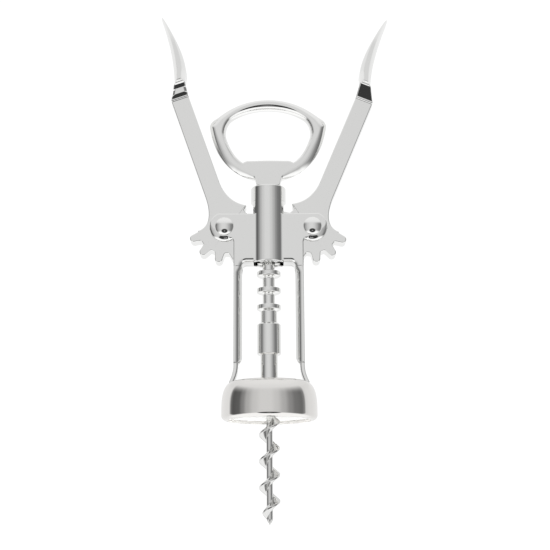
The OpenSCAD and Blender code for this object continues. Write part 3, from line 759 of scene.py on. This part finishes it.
def gear_outline():
    """Anticlockwise outline of the gear and the first part of the arm, from the cut's outer end
    round the gear to the cut's inner end. Each tooth has a rounded tip, tapering sides and small
    hollow roots."""
    half = tooth_root_w / 2
    tip_r = tooth_tip_w / 2
    root = math.degrees(math.asin(half / tooth_root_r))
    back_side = [arm_shift - arm_half, 13]
    gear_back = polar(tooth_root_r, 180 - 12)
    points = [[[arm_shift - arm_half, arm_cut]],
              bend(back_side, [-arm_half, gear_back[1]], gear_back, 14)]
    radii = [np.zeros(1), np.zeros(15)]
    for i in range(first_tooth, last_tooth + 1):
        turn = tooth_phase + i * tooth_step - arm_lean
        c, s = math.cos(math.radians(turn)), math.sin(math.radians(turn))
        foot = tooth_root_r * math.cos(math.radians(root))
        tip = arc([tooth_tip_r - tip_r, 0], tip_r, -90, 90, 12)
        tooth = np.concatenate([[[foot, -half]], tip, [[foot, half]]])
        points.append(tooth @ np.array([[c, s], [-s, c]]))
        radii.append(np.array([0.55] + [0] * 13 + [0.55]))
        if i < last_tooth:
            points.append([polar(tooth_root_r, turn + tooth_step / 2)])
            radii.append(np.zeros(1))
    hook_tip = np.array(polar(12, 27))
    hook_side = [arm_shift + arm_half, 17]
    points += [[polar(tooth_root_r - 0.2, 16), polar(tooth_root_r - 0.3, 24), hook_tip],
               bend(hook_side, [arm_half + 2 * arm_shift, hook_tip[1] + arm_half], hook_tip, 14)[-2::-1],
               [[arm_shift + arm_half, arm_cut]]]
    radii += [np.array([0, 1.2, 0.5]), np.zeros(14), np.zeros(1)]
    return soften(np.concatenate([np.array(p) for p in points]), np.concatenate(radii), 5, closed=False)


outline = gear_outline()
tooth_reach = np.linalg.norm(outline[40:-20], axis=1).max()
print(f"gear outline: {len(outline)} points, teeth reach {tooth_reach:.2f} mm")


# %% The arm's section on its way to the tip
def rounded_bar(half_x, half_y, corner_x, corner_y, side_steps=6, corner_steps=7, power=1.0):
    """Closed section of a bar with elliptical corners, anticlockwise in (x, y), as arrays over
    the stations given by the four sizes. A power above 1 on the corner's sine and cosine makes it
    flatter, and at 2 it is a straight chamfer."""
    t = np.radians(np.linspace(0, 90, corner_steps))
    power = np.broadcast_to(power, np.shape(half_x))[:, None]
    run = np.linspace(0, 1, side_steps + 2)[1:-1]
    hx, hy, cx, cy = (np.asarray(v, float)[:, None] for v in (half_x, half_y, corner_x, corner_y))
    ix, iy = hx - cx, hy - cy
    quarter_x, quarter_y = ix + cx * np.clip(np.cos(t), 0, 1) ** power, iy + cy * np.sin(t) ** power
    side_x, side_y = ix * (1 - 2 * run), iy * (2 * run - 1)
    x = np.concatenate([hx + 0 * side_y, quarter_x, side_x, -quarter_x[:, ::-1],
                        -hx + 0 * side_y, -quarter_x, -side_x, quarter_x[:, ::-1]], 1)
    y = np.concatenate([side_y, quarter_y, hy + 0 * side_x, quarter_y[:, ::-1],
                        -side_y, -quarter_y, -hy + 0 * side_x, -quarter_y[:, ::-1]], 1)
    return x, y


def grip_sides(z):
    """Inner and outer x of the lever at heights z along the arm: the straight arm, the neck's
    taper, and then the two quadratic curves of the grip that meet in its tip."""
    inner_line = np.concatenate([
        [[arm_shift + arm_half, 0]],
        bend([arm_shift + arm_half, arm_end - 0.4], [neck_inner[0], arm_end + 2.4], neck_inner, 10),
        bend(neck_inner, [neck_inner[0] + 0.1, 61.6], heel, 10)[1:],
        bend(heel, belly, [tip_x, grip_tip], 40)[1:]])
    outer_line = np.concatenate([
        [[arm_shift - arm_half, 0]],
        bend([arm_shift - arm_half, arm_end - 0.4], [-1.3, 57.6], neck_outer, 10),
        bend(neck_outer, grip_hollow, [tip_x - 0.1, grip_tip], 40)[1:]])
    return [np.interp(z, line[:, 1], line[:, 0]) for line in (inner_line, outer_line)]


def grip_depth(z, neck):
    """Half of the lever's size from front to back: the flat arm, a step out to the neck with its
    own (height, size) corners, a step out to the grip, which swells and then narrows in a long
    curve to the tip."""
    low, high = box_mm("left_lever")
    arm, grip_half = lever_t / 2, (high[1] - low[1]) / 2
    corners = np.array([[0, arm], [54.3, arm], [54.9, arm + 0.45], [55.2, arm + 0.45], *neck,
                        [60.1, 6.1], [60.5, 6.2], [60.7, 7.0], [61.2, 7.2],
                        [62.4, 7.3], [65.5, 7.5], [69, 7.75], [widest_z, grip_half]])
    fine = np.linspace(50, widest_z, 941)
    line = np.interp(fine, corners[:, 0], corners[:, 1])
    blur = np.hanning(19)
    line[9:-9] = np.convolve(line, blur / blur.sum(), "valid")
    beyond = np.clip((z - widest_z) / (grip_tip - widest_z), 0, 1)
    return np.interp(z, fine, line) * np.sqrt(1 - beyond**2) ** 0.8 + 0.2 * beyond


into_tip = np.sin(np.linspace(0.15, 1, 7) * math.pi / 2)
stations = np.concatenate([
    [arm_cut, 40, 50, 53.5], np.linspace(54, 62, 90), np.linspace(62.3, 64, 8),
    np.linspace(64.3, grip_tip - 0.4, 70), grip_tip - 0.4 * (1 - into_tip)])
inner_x, outer_x = grip_sides(stations)
middle_x = (inner_x + outer_x) / 2
tip_close = np.sqrt(np.clip((grip_tip - stations) / 0.8, 0.02, 1))
on_neck = smooth_step(stations, 56.0, 56.6) * (1 - smooth_step(stations, 58.0, 58.6))
on_grip = smooth_step(stations, 59.6, 61.2)
neck_corner = [1.15, 0.95]
grip_corner_share, grip_corner_y = 0.62, 4.6


def arm_shell(neck, bevel):
    """The arm and grip as a skin over the stations: where bevel is 1 the neck's corners are wide,
    almost straight chamfers, and on the grip the corners take up most of the section."""
    beveled = bevel * on_neck
    half_x = np.maximum((inner_x - outer_x) / 2, 0.12) * tip_close
    half_y = grip_depth(stations, neck) * tip_close
    corner_x = mixed(mixed(lever_rim_r, neck_corner[0], beveled), grip_corner_share * half_x, on_grip)
    corner_y = mixed(mixed(lever_rim_depth, neck_corner[1], beveled), grip_corner_y, on_grip)
    x, y = rounded_bar(half_x, half_y, np.minimum(corner_x, 0.98 * half_x),
                       np.minimum(corner_y, 0.85 * half_y), side_steps=14, corner_steps=12,
                       power=1 + 0.65 * on_grip + 0.6 * beveled)
    grid = at_heights(x + middle_x[:, None], y, stations)
    print("arm and grip:", grid.shape)
    return skin(grid)


# %% Both levers
gear_shell = plate([outline], -lever_t / 2, lever_t / 2, [lever_rim_r], depth_share=rim_depth_share)
ribbed_neck = [[56.5, 4.35], [58.4, 4.8], [59.8, 5.6]]
plain_neck = [[59.8, 5.8]]


def leaned(shell, degrees):
    """A shell leaned to the left by an angle about y, and moved to the left pivot."""
    verts, faces = shell
    c, s = math.cos(math.radians(degrees)), math.sin(math.radians(degrees))
    x, y, z = verts.T
    return np.stack([c * x - s * z - pivot_x, y, s * x + c * z + pivot_z], -1), faces


left_shells = [leaned(shell, arm_lean - arm_play)
               for shell in (gear_shell, arm_shell(ribbed_neck, bevel=1))]
right_shells = [mirrored(leaned(shell, arm_lean + arm_play), 0)
                for shell in (gear_shell, arm_shell(plain_neck, bevel=0))]
for name, shells in (("left", left_shells), ("right", right_shells)):
    make_piece(f"{name}_wing_lever", shells, cast_chrome, f"{name}_wing", "cast_chrome", f"{name}_lever")

# %% [markdown]
# ## Rack, ferrule and socket
#
# These are turned parts, so each is one profile turned about the screw's axis. All their corners
# are broken by small arcs, because it is there that turned chrome shows its bright and dark lines.

# %% The ringed rack
rack_low_end, rack_high_end = box_mm("rack_sleeve")[0][2], box_mm("rack_sleeve")[1][2]
ring_r = box_mm("rack_sleeve")[1][0]
ring_t = 2.0
stem_r = 2.35
shoulder_r = 3.1
bore_r = 1.55
rings = 7


def ring_corners(z):
    """Corners of one ring about its middle height, and the radius that breaks each."""
    low, top = z - ring_t / 2, z + ring_t / 2
    return ([[stem_r, low - 0.35], [ring_r - 0.6, low], [ring_r, low + 0.4], [ring_r, top - 0.15],
             [ring_r - 0.25, top], [stem_r, top + 0.2]],
            [0.5, 0.35, 0.35, 0.2, 0.2, 0.4])


rack_corners = [[bore_r, rack_low_end], [shoulder_r, rack_low_end],
                [shoulder_r, rack_low - ring_t / 2 - 0.4]]
rack_radii = [0, 0.3, 0.3]
for i in range(rings):
    corners, radii = ring_corners(rack_low + i * rack_pitch)
    if i == 0:
        corners, radii = corners[1:], radii[1:]
    rack_corners += corners
    rack_radii += radii
rack_corners += [[stem_r, rack_high_end], [bore_r, rack_high_end]]
rack_radii += [0.4, 0]
make_piece("rack", [lathe(soften(rack_corners, rack_radii, 5))], turned_chrome, "rack", "turned_chrome",
           "rack_sleeve", flats=False)

# %% Ferrule and socket
ferrule_low, ferrule_high = box_mm("ferrule")
socket_low, socket_high = box_mm("worm_socket")
chamfer = 0.55
core_r = 1.15
low, top, r = ferrule_low[2], ferrule_high[2], ferrule_high[0]
ferrule_corners = [[socket_high[0], low], [r - chamfer, low], [r, low + chamfer], [r, top - chamfer],
                   [r - chamfer, top], [socket_high[0], top]]
low, top, r = socket_low[2], socket_high[2], socket_high[0]
socket_corners = [[core_r, low], [r, low], [r, top], [core_r, top]]
for name, profile, node in (
        ("worm_ferrule", soften(ferrule_corners, [0, 0.25, 0.25, 0.25, 0.25, 0], 5), "ferrule"),
        ("socket", soften(socket_corners, [0.3, 0.6, 0, 0]), "worm_socket")):
    make_piece(name, [lathe(profile, 128)], turned_chrome, "screw", "turned_chrome", node, flats=False)

# %% [markdown]
# ## The worm
#
# The worm is an auger: a thin core with one right-handed flight that narrows from its root to its
# edge. Its surface is a radius over angle and height. The distance from a point to the flight's
# middle line, measured along the axis, gives the flight's flank, so the whole auger is one grid.

# %% The auger
worm_low, worm_high = box_mm("worm")
worm_r = worm_high[0]
worm_pitch = 9.4
worm_start = -19
flight_root_t, flight_edge_t = 3.8, 0.6
point_len = 2.4
flight_top = socket_low[2] - 0.4


def worm_radius(angle, z):
    """Radius of the auger: full between the edge's two sides, then down the slightly rounded
    flanks to the core. The flight fades out over the last stretch, and the core narrows to the
    point."""
    turns = z / worm_pitch - (angle + math.radians(worm_start)) / (2 * math.pi)
    off = np.abs(turns - np.round(turns)) * worm_pitch
    flank = np.clip((flight_root_t / 2 - off) / ((flight_root_t - flight_edge_t) / 2), 0, 1)
    flank = flank**0.85
    fade = np.sqrt(np.clip((z - worm_low[2] - point_len) / 6, 0, 1))
    core = core_r * np.clip((z - worm_low[2] + 0.05) / point_len, 0, 1) ** 0.8
    return core + (worm_r - core_r) * fade * flank


worm_z = np.concatenate([np.linspace(worm_low[2], flight_top, 620), [flight_top + 0.1, flight_top + 1.2]])
grid_a, grid_z = np.meshgrid(np.linspace(0, 2 * math.pi, 96, endpoint=False), worm_z)
grid_r = worm_radius(grid_a, grid_z)
grid_r[-2:] = core_r
worm_grid = np.stack([grid_r * np.cos(grid_a), grid_r * np.sin(grid_a), grid_z], -1)
make_piece("auger", [skin(worm_grid)], worm_steel, "screw", "worm_steel", "worm", flats=False)

# %% [markdown]
# ## The ring handle
#
# The ring is an oval band that flattens into the plate of the cap lifter. Seen from the front it
# is one closed loop between an outer and an inner outline, so it is one grid: stations run round
# the loop, and at each station a bar section with elliptical corners lies across it. Its corners
# shrink and its thickness falls as the station comes to the bottom. The flat neck then turns into
# the round shank, which is a second shell that begins inside the plate.

# %% The two outlines of the right half
handle_low, handle_high = box_mm("handle")
ring_half_w = handle_high[0]
ring_top = handle_high[2]
ring_low = tube_top + 3.2
ring_shoulder = ring_low + 22.3
lip_z = ring_low + 7.9
band_w, band_top_w = 6.4, 4.2
lip_half_w = 8.4
neck_half = 4.7
plate_low = tube_top + 0.4


def evenly(line, steps):
    """The same line with its points at even distances along it."""
    length = np.concatenate([[0], np.cumsum(np.linalg.norm(np.diff(line, axis=0), axis=1))])
    at = np.linspace(0, length[-1], steps + 1)
    return np.stack([np.interp(at, length, line[:, 0]), np.interp(at, length, line[:, 1])], -1)


def loop_half(pieces, counts):
    """Joins curves of the right half into one line from the top to the bottom, each at even
    distances, so that the same station number means the same stretch on both outlines."""
    even = [evenly(piece, count)[1:] for piece, count in zip(pieces, counts)]
    return np.concatenate([pieces[0][:1], *even])


counts = (26, 14, 40, 22)
corner = [ring_half_w - 2.6, ring_top - 7.6]
side = [ring_half_w, ring_shoulder - 0.6]
arm_low = [neck_half + 4.2, ring_low + 1.35]
outer_lower = bend(side, [ring_half_w - 2.7, ring_low + 4.0], [neck_half + 0.4, ring_low], 80)
split = int(np.argmin(np.linalg.norm(outer_lower - arm_low, axis=1)))
outer_half = loop_half([
    bend([0, ring_top], [ring_half_w / 2, ring_top], corner, 40),
    bend(corner, [ring_half_w - 0.3, ring_shoulder + 1.4], side, 40),
    outer_lower[:split + 1],
    np.concatenate([outer_lower[split:-2], soften(
        [outer_lower[-2], [neck_half + 0.25, ring_low - 0.1], [neck_half, ring_low - 1.2],
         [neck_half - 0.3, plate_low], [0, plate_low]], [0, 0.15, 0.2, 0.5, 0], 4, closed=False)])],
    counts)
in_w = ring_half_w - band_w
top = [0, ring_top - band_top_w]
in_corner = [in_w - 2.1, ring_shoulder + 2.2]
in_side = [in_w + 0.2, ring_shoulder - 4.5]
lip_end = [lip_half_w + 1.3, lip_z - 0.9]
inner_half = loop_half([
    bend(top, [in_w / 2, top[1]], in_corner, 40),
    bend(in_corner, [in_w + 0.5, ring_shoulder - 0.3], in_side, 40),
    bend(in_side, [lip_half_w + 5.4, lip_z + 1.6], lip_end, 60),
    soften([lip_end, [lip_half_w - 0.2, lip_z - 0.15], [0, lip_z]], [0, 1.2, 0], 6, closed=False)],
    counts)


def smoothed(line, rounds):
    """A line whose points are moved halfway to the mean of their neighbours, some rounds long."""
    line = line.copy()
    for _ in range(rounds):
        line[1:-1] += 0.5 * (0.5 * (line[:-2] + line[2:]) - line[1:-1])
    return line


main = counts[0] + counts[1] + counts[2] - 3
outer_half[:main] = smoothed(outer_half[:main], 1)
inner_half[:main] = smoothed(inner_half[:main], 4)
print("stations of one half:", len(outer_half), len(inner_half))

# %% The section round the loop
stretch = np.arange(len(outer_half), dtype=float)
ring_end, web_start = counts[0] + counts[1] + 10, counts[0] + counts[1] + counts[2] + 2
web = smooth_step(stretch, ring_end, web_start)
band_half_t, web_half_t = 2.7, 1.7
lens_w = 3.3
half_width = 0.5 * np.linalg.norm(outer_half - inner_half, axis=1)
section_t = mixed(band_half_t, web_half_t, web)
on_top = 1 - smooth_step(stretch, 0, counts[0])
near_neck = smooth_step(stretch, web_start - 4, web_start + 12)
sharp_side = smooth_step(stretch, 0.6 * counts[0], counts[0] + 0.5 * counts[1]) * (1 - near_neck)
outer_corner = np.minimum(mixed(half_width, 2.4, web), half_width)
outer_corner = outer_corner * (1 - 0.3 * on_top) * (1 - 0.6 * near_neck)
inner_corner = np.minimum(mixed(half_width, 0.55, web), half_width) * (1 + 0.3 * on_top)
inner_corner = mixed(inner_corner, np.minimum(inner_corner, 0.6 * half_width), sharp_side)
outer_edge = mixed(section_t, 1.6, web)
inner_edge = mixed(section_t, 0.55, web)


def lens_edge(steps, edge_angle=43, hold=1.8):
    """A curve that leaves the side at edge_angle and turns to flat, slowly at first: its slope is
    the edge's angle times 1 - share ** hold. Both coordinates are scaled to run from 0 to 1; the
    third value is the curve's height as a share of its width."""
    share = np.linspace(0, 1, 40 * (steps - 1) + 1)
    slope = math.radians(edge_angle) * (1 - share**hold)
    inward = np.cumsum(np.cos(slope)) - math.cos(slope[0])
    up = np.cumsum(np.sin(slope)) - math.sin(slope[0])
    return inward[::40] / inward[-1], up[::40] / up[-1], up[-1] / inward[-1]


def oval_section(half, thick, corner_in, edge_in, corner_out, edge_out, sharp, steps=14, run_steps=5):
    """Closed section across the band: place along the line from the inner to the outer outline
    (-half to half) and depth y. Both ends have elliptical corners of their own. Where sharp is 1
    the outer corner is a lens edge instead, as wide as the band allows."""
    t = np.radians(np.linspace(0, 90, steps))
    run = np.linspace(0, 1, run_steps + 2)[1:-1]
    lens_in, lens_up, lens_rise = lens_edge(steps)
    half, thick, ci, ei, co, eo, sharp = (np.asarray(v, float)[:, None] for v in (
        half, thick, corner_in, edge_in, corner_out, edge_out, sharp))
    co = mixed(co, np.minimum(lens_w, 1.3 * half), sharp)
    eo = mixed(eo, np.minimum(co * lens_rise, 0.9 * thick), sharp)
    cosine, sine = mixed(np.cos(t), 1 - lens_in, sharp), mixed(np.sin(t), lens_up, sharp)
    out_along, out_y = half - co + co * cosine, thick - eo + eo * sine
    in_along, in_y = -half + ci - ci * np.cos(t), thick - ei + ei * np.sin(t)
    flat = (half - co) * (1 - run) + (-half + ci) * run
    wall_out, wall_in = (thick - eo) * (2 * run - 1), (thick - ei) * (2 * run - 1)
    along = np.concatenate([half + 0 * wall_out, out_along, flat, in_along[:, ::-1], -half + 0 * wall_in,
                            in_along, flat[:, ::-1], out_along[:, ::-1]], 1)
    y = np.concatenate([wall_out, out_y, thick + 0 * flat, in_y[:, ::-1], -wall_in,
                        -in_y, -thick + 0 * flat, -out_y[:, ::-1]], 1)
    return along, y


along, depth = oval_section(half_width, section_t, inner_corner, inner_edge, outer_corner, outer_edge,
                            sharp_side)
share = along / (2 * half_width[:, None]) + 0.5
flat_x = inner_half[:, :1] + (outer_half[:, :1] - inner_half[:, :1]) * share
flat_z = inner_half[:, 1:] + (outer_half[:, 1:] - inner_half[:, 1:]) * share
right_grid = np.stack([flat_x, depth, flat_z], -1)
draft = np.clip((lip_z - flat_z) / (lip_z - ring_low), 0, 1) * np.clip(web, 0, 1)[:, None]
right_grid[..., 1] *= 1 - 0.16 * web[:, None] + 0.3 * draft
left_grid = (right_grid * [-1, 1, 1])[::-1]
loop_grid = np.concatenate([right_grid, left_grid[1:-1]])
ring_shell = skin(loop_grid, ring=True)

# %% The shank: from the flat neck to a round rod
end_r = 0.3
shank_z = np.concatenate([
    np.linspace(ring_low + 1.5, tube_top + 1.1, 6), np.linspace(tube_top + 1.0, tube_top - 1.6, 20),
    np.linspace(tube_top - 1.8, handle_low[2] + end_r, 4),
    handle_low[2] + end_r * (1 - np.sin(np.linspace(0.2, 1, 4) * math.pi / 2))])
round_share = smooth_step(shank_z, tube_top + 1.0, tube_top - 1.4)
end_share = np.clip((shank_z - handle_low[2]) / end_r, 0, 1)
end_trim = end_r * (1 - np.sqrt(1 - (1 - end_share) ** 2))
shank_x = np.where(shank_z > tube_top + 1, neck_half - 0.12, neck_half) - end_trim
shank_y = mixed(web_half_t - 0.06, neck_half, round_share) - end_trim
shank_cx, shank_cy = (np.minimum(mixed(0.8, size, round_share), size) for size in (shank_x, shank_y))
shank_bx, shank_by = rounded_bar(shank_x, shank_y, shank_cx, shank_cy, side_steps=8, corner_steps=12)
shank_shell = skin(at_heights(shank_bx, shank_by, shank_z))
make_piece("ring_handle", [ring_shell, shank_shell], cast_chrome, "screw", "cast_chrome", "handle")

# %% [markdown]
# ## Hidden steel
#
# The spindle and the two cross pins are plain turned steel, and the CAD solids are already right.
# They only get their material.

# %% Pins and spindle
for node in ("spindle", "handle_pin", "worm_pin"):
    solid = frame["nodes"][node]
    solid.data.materials.clear()
    solid.data.materials.append(pin_steel)
print("CAD solids kept: spindle, handle_pin, worm_pin")

# %% [markdown]
# ## The studio
#
# The photo was taken in a light tent: white all round behind the tool, softer grey in front, dark
# gaps at both sides and a dark patch low in front. The world shader paints that tent by direction,
# so that every surface mirrors it as it did then. The camera itself sees plain white.


# %% The tent as a world shader
def tent_world():
    """A world whose grey depends on the direction alone. Azimuth 0 is the camera's side and 180 is
    behind the tool. The walls are a ramp over the azimuth, and the ceiling and the floor blend into
    them over some degrees of height. The patch is a dark ellipse with a lighter middle."""
    world = bpy.data.worlds.new("light_tent")
    bpy.context.scene.world = world
    world.use_nodes = True
    tree = world.node_tree
    tree.nodes.clear()

    def calc(operation, *values):
        return add_node(tree, "Math", dict(enumerate(values)), operation=operation).outputs[0]

    def ramp(value, stops):
        """Greys at places from 0 to 1, eased from each to the next."""
        node = add_node(tree, "ValToRGB", {"Fac": value})
        node.color_ramp.interpolation = "EASE"
        elements = node.color_ramp.elements
        elements[0].position, elements[1].position = stops[0][0], stops[-1][0]
        for place, _ in stops[1:-1]:
            elements.new(place)
        for element, (_, grey) in zip(elements, stops):
            element.color = (grey, grey, grey, 1)
        return node.outputs["Color"]

    def between(value, low, high):
        """A share from 0 at low to 1 at high, in a smooth S."""
        return add_node(tree, "MapRange", {"Value": value, "From Min": low, "From Max": high},
                        interpolation_type="SMOOTHSTEP").outputs["Result"]

    def mix(share, a, b):
        """Grey a at share 0, and grey b, an output or a number, at share 1."""
        b = (b, b, b, 1) if isinstance(b, float) else b
        return add_node(tree, "Mix", {"Factor": share, COLOUR_A: a, COLOUR_B: b},
                        data_type="RGBA").outputs[COLOUR_OUT]

    direction = add_node(tree, "TexCoord", {}).outputs["Generated"]
    x, y, z = add_node(tree, "SeparateXYZ", {0: direction}).outputs
    azimuth = calc("MULTIPLY", calc("ARCTAN2", x, calc("MULTIPLY", y, -1.0)), 180 / math.pi)
    height = calc("MULTIPLY", calc("ARCSINE", z), 180 / math.pi)
    turn = calc("ADD", calc("DIVIDE", azimuth, 360.0), 0.5)

    walls = ((-180, 0.90), (-162, 0.88), (-148, 0.86), (-112, 0.82), (-102, 0.16), (-96, 0.10),
             (-78, 0.12), (-66, 0.25), (-54, 0.45), (-36, 0.62), (-18, 0.70), (2, 0.70),
             (18, 0.62), (36, 0.46), (52, 0.28), (66, 0.19), (84, 0.16), (92, 0.24),
             (98, 0.74), (112, 0.80), (148, 0.86), (162, 0.88), (180, 0.90))
    round_the_tent = ramp(turn, [(degrees / 360 + 0.5, grey) for degrees, grey in walls])
    overhead = ramp(between(height, 18.0, 70.0), [(0.0, 0.70), (0.35, 0.80), (1.0, 0.86)])
    upper = mix(between(height, 20.0, 42.0), round_the_tent, overhead)
    tent = mix(between(height, -22.0, -42.0), upper, 1.06)

    patch_half_width, patch_height, patch_half_height = 32.0, -34.0, 18.0
    patch_x = calc("DIVIDE", azimuth, patch_half_width)
    patch_z = calc("DIVIDE", calc("SUBTRACT", height, patch_height), patch_half_height)
    away = calc("SQRT", calc("ADD", calc("MULTIPLY", patch_x, patch_x), calc("MULTIPLY", patch_z, patch_z)))
    tent = mix(between(away, 1.1, 0.8), tent, 0.04)
    tent = mix(between(away, 0.3, 0.1), tent, 0.35)

    mirrored_tent = add_node(tree, "Background", {"Color": tent}).outputs[0]
    plain_white = add_node(tree, "Background", {"Color": (1, 1, 1, 1), "Strength": 1.05}).outputs[0]
    seen = add_node(tree, "LightPath", {}).outputs["Is Camera Ray"]
    choose = add_node(tree, "MixShader", {0: seen, 1: mirrored_tent, 2: plain_white})
    add_node(tree, "OutputWorld", {"Surface": choose.outputs[0]})


tent_world()
bpy.context.scene.view_settings.view_transform = "Standard"
print("tent ready")

# %% Floor and soft light
floor_gap = 0.6 * MM
floor_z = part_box("worm")[0][2] - floor_gap
floor_mesh = bpy.data.meshes.new("pale_floor")
reach = 1.6
corners = [(x * reach, y * reach, floor_z) for x, y in ((-1, -1), (1, -1), (1, 1), (-1, 1))]
floor_mesh.from_pydata(corners, [], [(0, 1, 2, 3)])
floor_mesh.materials.append(new_material("pale_floor", (0.93, 0.93, 0.93), 0.9, 0))
floor = bpy.data.objects.new("pale_floor", floor_mesh)
bpy.context.scene.collection.objects.link(floor)
floor.visible_glossy = False


def add_light(name, kind, power, place, aim, **settings):
    """A light that lights what is not metal and stays out of the reflections."""
    lamp = bpy.data.lights.new(name, kind)
    lamp.energy = power
    for key, value in settings.items():
        setattr(lamp, key, value)
    light = bpy.data.objects.new(name, lamp)
    light.location = place
    light.rotation_euler = (Vector(aim) - Vector(place)).to_track_quat("-Z", "Y").to_euler()
    light.visible_glossy = False
    bpy.context.scene.collection.objects.link(light)


add_light("overhead", "AREA", 30.0, (0, -0.2, 1.2), (0, 0, 0), size=1.6)
add_light("low_front", "AREA", 1.2, (0, -0.5, -0.02), (0, 0, 0.01), size=0.3)
add_light("even_sky", "SUN", 2.4, (0, 0, 1), (0, 0, 0), angle=math.radians(120))

# %% [markdown]
# ## The camera
#
# The photo looks slightly up at the tool from just above the ground. The camera's distance, lens,
# tilt and small roll come from matching the frame's corners and the bell's edges in the photo.

# %% Camera
aim_x, aim_z = 2.35 * MM, 54.3 * MM
distance = 393.75 * MM
tilt = math.radians(13.2)
roll = 0.0062
focal_px, picture_px, sensor_mm = 1050, 550, 36
camera_data = bpy.data.cameras.new("camera")
camera_data.sensor_width = sensor_mm
camera_data.lens = focal_px / picture_px * sensor_mm
camera = bpy.data.objects.new("camera", camera_data)
look = Vector((0, math.cos(tilt), math.sin(tilt)))
turned = look.to_track_quat("-Z", "Y").to_matrix().to_4x4() @ Matrix.Rotation(-roll, 4, "Z")
camera.matrix_world = Matrix.Translation(Vector((aim_x, 0, aim_z)) - look * distance) @ turned
camera_data.clip_start = 0.01
bpy.context.scene.collection.objects.link(camera)
bpy.context.scene.camera = camera
print("camera at", [round(v, 4) for v in camera.matrix_world.translation])
